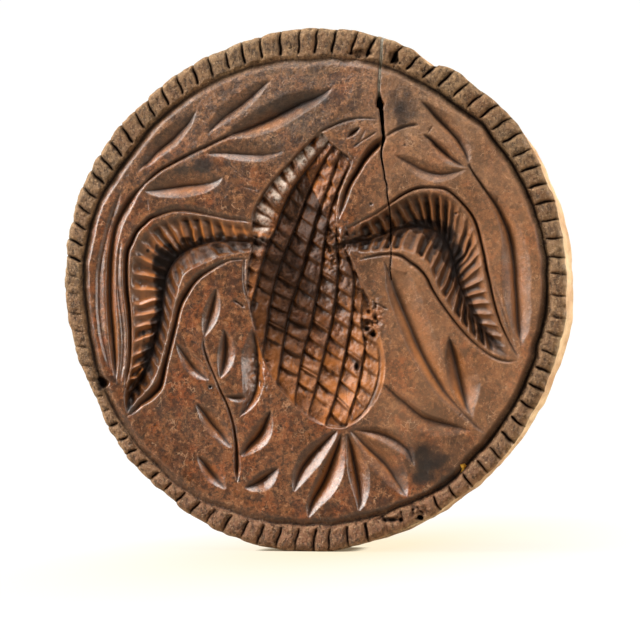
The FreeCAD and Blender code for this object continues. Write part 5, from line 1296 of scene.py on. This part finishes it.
# ------------------------------------------------------------------ the disc's wood
def disc_wood():
    wood = Shader(bpy.data.materials.new("butter_disc_wood"))
    times, plus, larger = wood.times, wood.plus, wood.larger
    remap, attr, deepen, inverse = wood.remap, wood.attr, wood.deepen, wood.inverse
    plain = wood.coords()
    streak = wood.noise(wood.coords(scale=(1, 1, 0.10)), 900, 5.0, 0.6, 0.3)   # up the face
    mottle = wood.noise(plain, 380, 5.0, 0.62)
    speck = wood.noise(plain, 2300, 3.0, 0.6)

    def shifted(x, y, z):
        return wood.coords(shift=(x, y, z))

    # place, (scale, detail, roughness, distortion), (low, high, value at low, at high)
    masks = {name: wood.patch(*row) for name, row in {
        "tone": (plain, (42, 3.0, 0.5), (0.35, 0.65)),
        "red": (shifted(0.3, 0.1, 0.2), (120, 5.0, 0.6), (0.50, 0.66)),
        "grey": (shifted(0.7, 0.4, 0.9), (60, 4.0, 0.6), (0.34, 0.62, 0.40, 1.0)),
        "fleck": (plain, (1250, 6.0, 0.75, 0.6), (0.52, 0.64)),
        "blot": (shifted(0.33, 0.12, 0.77), (620, 5.0, 0.68), (0.47, 0.61)),
        "fine_blot": (shifted(0.9, 0.3, 0.4), (1500, 5.0, 0.72), (0.49, 0.62)),
        "warm": (plain, (130, 3.0, 0.5), (0.30, 0.62, 0.45, 1.0)),
        "dry_side": (plain, (75, 3.0, 0.55), (0.30, 0.70, 0.16, 0.46)),
        "scuff": (plain, (260, 3.0, 0.6), (0.52, 0.62)),
        "rubbed": (plain, (700, 4.0, 0.65), (0.36, 0.60)),
        "rim": (plain, (520, 5.0, 0.65), (0.36, 0.66)),
        "rim_brown": (shifted(0.2, 0.8, 0.1), (90, 3, 0.5), (0.42, 0.64)),
        "pores": (wood.coords(scale=(1, 1, 0.6)), (1300, 4.0, 0.72), (0.51, 0.64)),
        "rim_pale": (shifted(0.1, 0.6, 0.3), (2100, 3.0, 0.6), (0.55, 0.68)),
        "side": (wood.coords(scale=(1, 0.25, 1)), (160, 5, 0.6), (0.36, 0.66)),
        "side_mark": (shifted(0.5, 0.2, 0.6), (34, 4, 0.6), (0.52, 0.70)),
        "side_grain": (wood.coords(scale=(1, 1, 0.08)), (1400, 4, 0.6), (0.55, 0.7)),
        "dust": (plain, (900, 4, 0.6), (0.35, 0.65)),
        "roughness": (plain, (210, 4, 0.6), (0.3, 0.7, 0.26, 0.40)),
    }.items()}
    breast, shade, cavity, valley, proud, rim, side, crack = (
        attr(name) for name in
        ("breast", "shade", "cavity", "valley", "proud", "rim", "side", "crack"))
    height = wood.separate("Object")["Z"]

    # the top of the face is drier and greyer
    upper = remap(height, 0.012, 0.048)
    dry = times(times(upper, masks["grey"], True), inverse(attr("breast")))
    # steep walls of the wider cuts are painted a warmer orange, less so towards the top, and a
    # painted glow is added on the lit wing walls and the lower breast
    warm = times(remap(attr("slope"), 0.08, 0.45), remap(attr("hollow"), 0.05, 0.6), True)
    warm = times(times(warm, masks["warm"]), remap(upper, 0, 1, 1.0, 0.45))
    warm = larger(times(warm, 0.80), times(attr("amber"), 0.80))
    # short pale scuffs wander over the field
    wander = wood.math("SUBTRACT", wood.noise(plain, 420, 2.0, 0.5), 0.5)
    scuff = times(remap(wood.math("ABSOLUTE", wander), 0.0, 0.018, 1.0, 0.0), masks["scuff"])
    scuff = times(scuff, inverse(attr("breast"), True), True)

    # the notched rim: grey-tan, open pored
    rim_colour = wood.layers(
        (74, 56, 41),
        ((148, 117, 84), masks["rim"]),
        ((112, 80, 54), masks["rim_brown"]),
        ((126, 82, 58), remap(height, -0.020, -0.046), 0.65),
        ((46, 33, 24), masks["pores"], 0.8),
        ((178, 148, 112), masks["rim_pale"], 0.6),
        ((176, 142, 104), proud, 0.25),
        # painted shade in the valleys and narrow cuts
        ((38, 25, 16), valley, 0.85),
        ((20, 13, 9), cavity, 0.95))
    # side and back: pale tan wood with darker marks
    side_colour = wood.layers(
        (196, 150, 104),
        ((238, 205, 158), masks["side"]),
        ((158, 110, 70), masks["side_mark"], 0.6),
        ((110, 72, 44), masks["side_grain"], 0.35))
    dust = wood.layers((150, 138, 122), ((220, 214, 200), masks["dust"]))
    colour = wood.layers(
        (70, 41, 24),
        ((120, 72, 41), masks["tone"]),
        ((140, 70, 28), masks["red"], 0.75),
        ((114, 92, 66), dry, 0.75),
        ((58, 33, 20), remap(streak, 0.5, 0.72), 0.35),
        ((150, 102, 64), remap(mottle, 0.50, 0.68), 0.62),
        ((172, 124, 88), masks["fleck"], 0.62),
        ((50, 29, 18), masks["blot"], 0.78),
        ((38, 24, 16), masks["fine_blot"], 0.80),
        ((194, 116, 46), warm),
        ((164, 126, 96), attr("dryside"), masks["dry_side"]),
        ((186, 148, 116), scuff, 0.55),
        # painted shade on walls facing away from the light
        ((44, 25, 14), deepen(attr("lee"), 1.8), 0.72),
        # rubbed ridges are paler; valleys, grooves and narrow cuts get painted shade, and the
        # outer breast band a painted pale glint
        ((160, 112, 74), proud, 0.18),
        ((36, 20, 12), deepen(valley), 0.80),
        ((22, 13, 9), deepen(shade), 0.90),
        ((236, 222, 208), times(attr("rubbed"), masks["rubbed"]), 0.85),
        ((22, 13, 9), cavity, 0.92),
        (rim_colour, rim),
        (side_colour, side),
        # dark spots, partly stains and partly painted shade in the wing and leaf valleys, and the
        # pale dust packed in the upper crack
        ((24, 19, 18), deepen(times(attr("stain"), remap(mottle, 0.35, 0.60, 0.72, 1.0)))),
        ((14, 10, 8), crack),
        (dust, times(crack, remap(height, 0.0413, 0.0428), True)))

    roughness = masks["roughness"]
    for mask, more in ((breast, 0.10), (dry, 0.16), (rim, 0.22), (attr("matt"), 0.07)):
        roughness = plus(roughness, times(mask, more))
    roughness = plus(roughness, times(cavity, 0.25), True)
    roughness = larger(roughness, times(side, 0.66))
    # dark, dry and open-pored wood shines less
    unpolished = larger(times(rim, 0.45), times(attr("matt"), 0.60))
    scaled = times(wood.math("SUBTRACT", breast, attr("rubbed")), 0.72)
    dim = larger(larger(cavity, times(deepen(shade), 0.95)), larger(unpolished, scaled))
    uncoated = larger(larger(larger(rim, dry), attr("matt")),
                      larger(larger(cavity, times(breast, 0.6)), deepen(shade)))

    open_grain = larger(larger(rim, dry), times(breast, 0.35))
    normal = wood.bump(mottle, remap(open_grain, 0, 1, 0.42, 0.80), distance=0.0005)
    normal = wood.bump(streak, 0.18, 0.0001, normal)
    grit = times(speck, plus(1.0, times(larger(rim, dry), 1.2)))
    grit = plus(grit, times(masks["pores"], times(rim, -1.6)))
    normal = wood.bump(grit, remap(open_grain, 0, 1, 0.34, 0.85), 0.00022, normal)
    return wood.surface({
        "Base Color": colour,
        "Roughness": roughness,
        "Specular IOR Level": remap(dim, 0, 1, 0.5, 0.05),
        "IOR": 1.5,
        "Coat Weight": times(inverse(uncoated, True), 0.4),
        "Coat Roughness": 0.20,
        "Normal": normal})


mesh.materials.append(disc_wood())


# ------------------------------------------------------------------ handle and wedge
def turned_wood(name, dark, mid, light, roughness):
    """Wood with its grain along Y and fine rings left by the turning tool."""
    wood = Shader(bpy.data.materials.new(name))
    along = (1, 0.12, 1)
    grain = wood.noise(wood.coords(along), 260, 6, 0.6, 0.6)
    fine = wood.noise(wood.coords(along), 1500, 4, 0.6)
    cloud = wood.noise(wood.coords(), 38, 3, 0.5)
    wave = wood.node("ShaderNodeTexWave", {
        "Vector": wood.coords(), "Scale": 260, "Distortion": 0.6, "Detail": 2},
        wave_type="BANDS", bands_direction="Y").outputs["Fac"]
    colour = wood.layers(
        dark,
        (mid, wood.remap(grain, 0.35, 0.65)),
        (light, wood.remap(fine, 0.45, 0.7), 0.5),
        (dark, wood.remap(cloud, 0.5, 0.7), 0.5),
        (dark, wood.remap(wave, 0.75, 1.0), 0.14))
    normal = wood.bump(wave, strength=0.12, distance=0.0001)
    return wood.surface({
        "Base Color": colour,
        "Roughness": wood.remap(cloud, 0.3, 0.7, *roughness),
        "Normal": wood.bump(fine, 0.25, 0.0001, normal)})


for node_name, *wood_look in (
        ("handle", "butter_handle_wood", (72, 42, 24), (124, 78, 46), (160, 110, 70),
         (0.34, 0.5)),
        ("tenon_wedge", "butter_wedge_wood", (150, 112, 70), (190, 150, 104), (214, 180, 134),
         (0.5, 0.65))):
    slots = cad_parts[node_name].data.materials
    slots.clear()
    slots.append(turned_wood(*wood_look))

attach(disc, "root")
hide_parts("stamp_disc")


# ------------------------------------------------------------------ the gilt fleck
def gilt():
    shader = Shader(bpy.data.materials.new("butter_gilt"))
    mask = shader.patch(shader.coords(), (1800, 3, 0.6), (0.4, 0.6))
    return shader.surface({
        "Base Color": shader.layers((214, 150, 40), ((250, 206, 90), mask)),
        "Metallic": 0.6,
        "Roughness": 0.4})


# stuck in the dark spot low on the right: its outline, then a smaller one a little proud
fleck_mid = FLECK.mean(0)
fleck_points = []
for lift, size in ((0.02, 1.0), (-0.10, 0.55)):
    x, z = (fleck_mid + (FLECK - fleck_mid) * size).T
    fleck_points.append(np.stack([x, sample(depth, x, z) + lift, z], -1))
low = np.arange(len(FLECK))
high = low + len(FLECK)
fleck_sides = np.stack([low, np.roll(low, -1), np.roll(high, -1), high], -1)
fleck_mesh, _ = build_mesh(
    "gilt_fleck", np.concatenate(fleck_points), fleck_sides, np.stack([high, low[::-1]]))
fleck = add_object("gilt_fleck", fleck_mesh, PLACE)
fleck_mesh.materials.append(gilt())
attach(fleck, "root")


# ------------------------------------------------------------------ floor
def pale_floor():
    """Glowing paper to the camera, with a painted warm glow and a painted contact shadow near the
    disc; plain to other rays.
    """
    paper = Shader(bpy.data.materials.new("pale_floor"))
    camera_ray = paper.node("ShaderNodeLightPath").outputs["Is Camera Ray"]
    # painted contact shadow, from ambient occlusion
    occlusion = paper.node("ShaderNodeAmbientOcclusion", {"Distance": 0.0016}, samples=8)
    contact = paper.remap(occlusion.outputs["AO"], 0.25, 0.80)
    place = paper.node("ShaderNodeNewGeometry").outputs["Position"]
    squeezed = paper.node("ShaderNodeVectorMath", {0: place, 1: (1.0, 0.25, 0.0)},
                          operation="MULTIPLY")
    distance = paper.node("ShaderNodeVectorMath",
                          {0: squeezed.outputs[0], 1: (0.006, -0.004, 0.0)},
                          operation="DISTANCE").outputs["Value"]
    # painted warm glow near the disc, as light bounced off the wood
    warmth = paper.math("POWER", paper.remap(distance, 0.008, 0.075, 1.0, 0.0), 1.5)
    glow = paper.mix(warmth, (1.0, 1.0, 0.988), (0.97, 0.85, 0.62))
    return paper.surface({
        "Base Color": paper.mix(camera_ray, (0.36, 0.31, 0.24), (0.03, 0.03, 0.03)),
        "Roughness": 0.8,
        "Specular IOR Level": 0.1,
        "Emission Color": paper.mix(contact, (0.20, 0.15, 0.09), glow),
        "Emission Strength": paper.times(camera_ray, 1.0)})


# (y, z) in metres: flat under the stamp, then curving up a long way behind it
CURVE_Y, CURVE_RADIUS = 0.9, 0.7
sweep = [(-3.0, 0.0), (CURVE_Y, 0.0)]
for k in range(1, 17):
    a = math.radians(90 * k / 16)
    sweep.append((CURVE_Y + CURVE_RADIUS * math.sin(a), CURVE_RADIUS * (1 - math.cos(a))))
sweep.append((CURVE_Y + CURVE_RADIUS, 3.0))
floor_points = np.array([(x, y, z) for y, z in sweep for x in (-4.0, 4.0)]) / MM
floor_quads = 2 * np.arange(len(sweep) - 1)[:, None] + np.array([0, 1, 3, 2])
floor_mesh, _ = build_mesh("floor", floor_points, floor_quads)
floor = add_object("floor", floor_mesh)
floor_mesh.materials.append(pale_floor())


# ------------------------------------------------------------------ world and lights
def studio_world():
    """White to the camera; to other rays bright behind, dark on the camera's side."""
    room = Shader(bpy.data.worlds.new("studio"))
    axis = room.separate("Generated")
    camera_ray = room.node("ShaderNodeLightPath").outputs["Is Camera Ray"]
    behind = room.remap(axis["Y"], -0.25, 0.35)
    right = room.remap(axis["X"], 0.15, 0.8)
    left = room.remap(axis["X"], -0.55, -0.95)
    above = room.remap(axis["Z"], 0.45, 0.95)
    strength = room.times(room.remap(behind, 0, 1, 0.04, 0.75), room.remap(right, 0, 1, 1.0, 0.35))
    strength = room.plus(strength, room.times(room.larger(left, above), 0.42))
    strength = room.plus(room.times(camera_ray, 1.05),
                         room.times(room.inverse(camera_ray), strength))
    background = room.node("ShaderNodeBackground", {
        "Color": room.mix(camera_ray, (1.0, 0.98, 0.95), (1.0, 1.0, 1.0)),
        "Strength": strength})
    room.node("ShaderNodeOutputWorld", {0: background.outputs[0]})
    return room.owner


bpy.context.scene.world = studio_world()


def turn_to(thing, direction):
    thing.rotation_mode = "QUATERNION"
    thing.rotation_quaternion = direction.to_track_quat("-Z", "Y")


# name, place, aim, size (metres), power, colour, specular factor
AIM = (0, -0.04, 0.056)
LIGHTS = (
    ("key", (-0.72, -0.33, 0.42), AIM, (0.34, 0.66), 11.5, (1.0, 0.97, 0.93), 1.35),
    ("top", (0.02, -0.34, 0.82), AIM, (0.50, 0.34), 6.5, (1.0, 0.97, 0.93), 1.0),
    ("right_fill", (0.69, -0.50, 0.23), AIM, (0.17, 0.42), 3.1, (1.0, 0.95, 0.88), 2.0),
    ("right_bounce", (0.58, 0.44, 0.13), (0.05, -0.03, 0.04), (0.5, 0.6), 9.5,
     (1.0, 0.95, 0.86), 1.0))
for name, place, aim, size, power, colour, specular in LIGHTS:
    light = bpy.data.lights.new(name, "AREA")
    light.shape = "RECTANGLE"
    light.size, light.size_y = size
    light.energy = power
    light.color = colour
    light.specular_factor = specular
    turn_to(add_object(name, light, place), Vector(aim) - Vector(place))

# ------------------------------------------------------------------ camera
AZIMUTH, ELEVATION = math.radians(12.0), math.radians(-1.5)
DISTANCE = 0.700
TARGET = (2.0800, 0.0, -6.7232)      # mm from the middle of the face
lens = bpy.data.cameras.new("camera")
lens.sensor_width = 36.0
lens.lens = 182.08125
lens.clip_start, lens.clip_end = 0.01, 20.0
direction = Vector((math.sin(AZIMUTH) * math.cos(ELEVATION),
                    -math.cos(AZIMUTH) * math.cos(ELEVATION), math.sin(ELEVATION)))
camera = add_object("camera", lens, Vector(TARGET) * MM + Vector(PLACE) + direction * DISTANCE)
turn_to(camera, -direction)
bpy.context.scene.camera = camera
try:
    bpy.context.scene.view_settings.view_transform = "Standard"
except TypeError:
    pass                             # the colour configuration may lack this transform
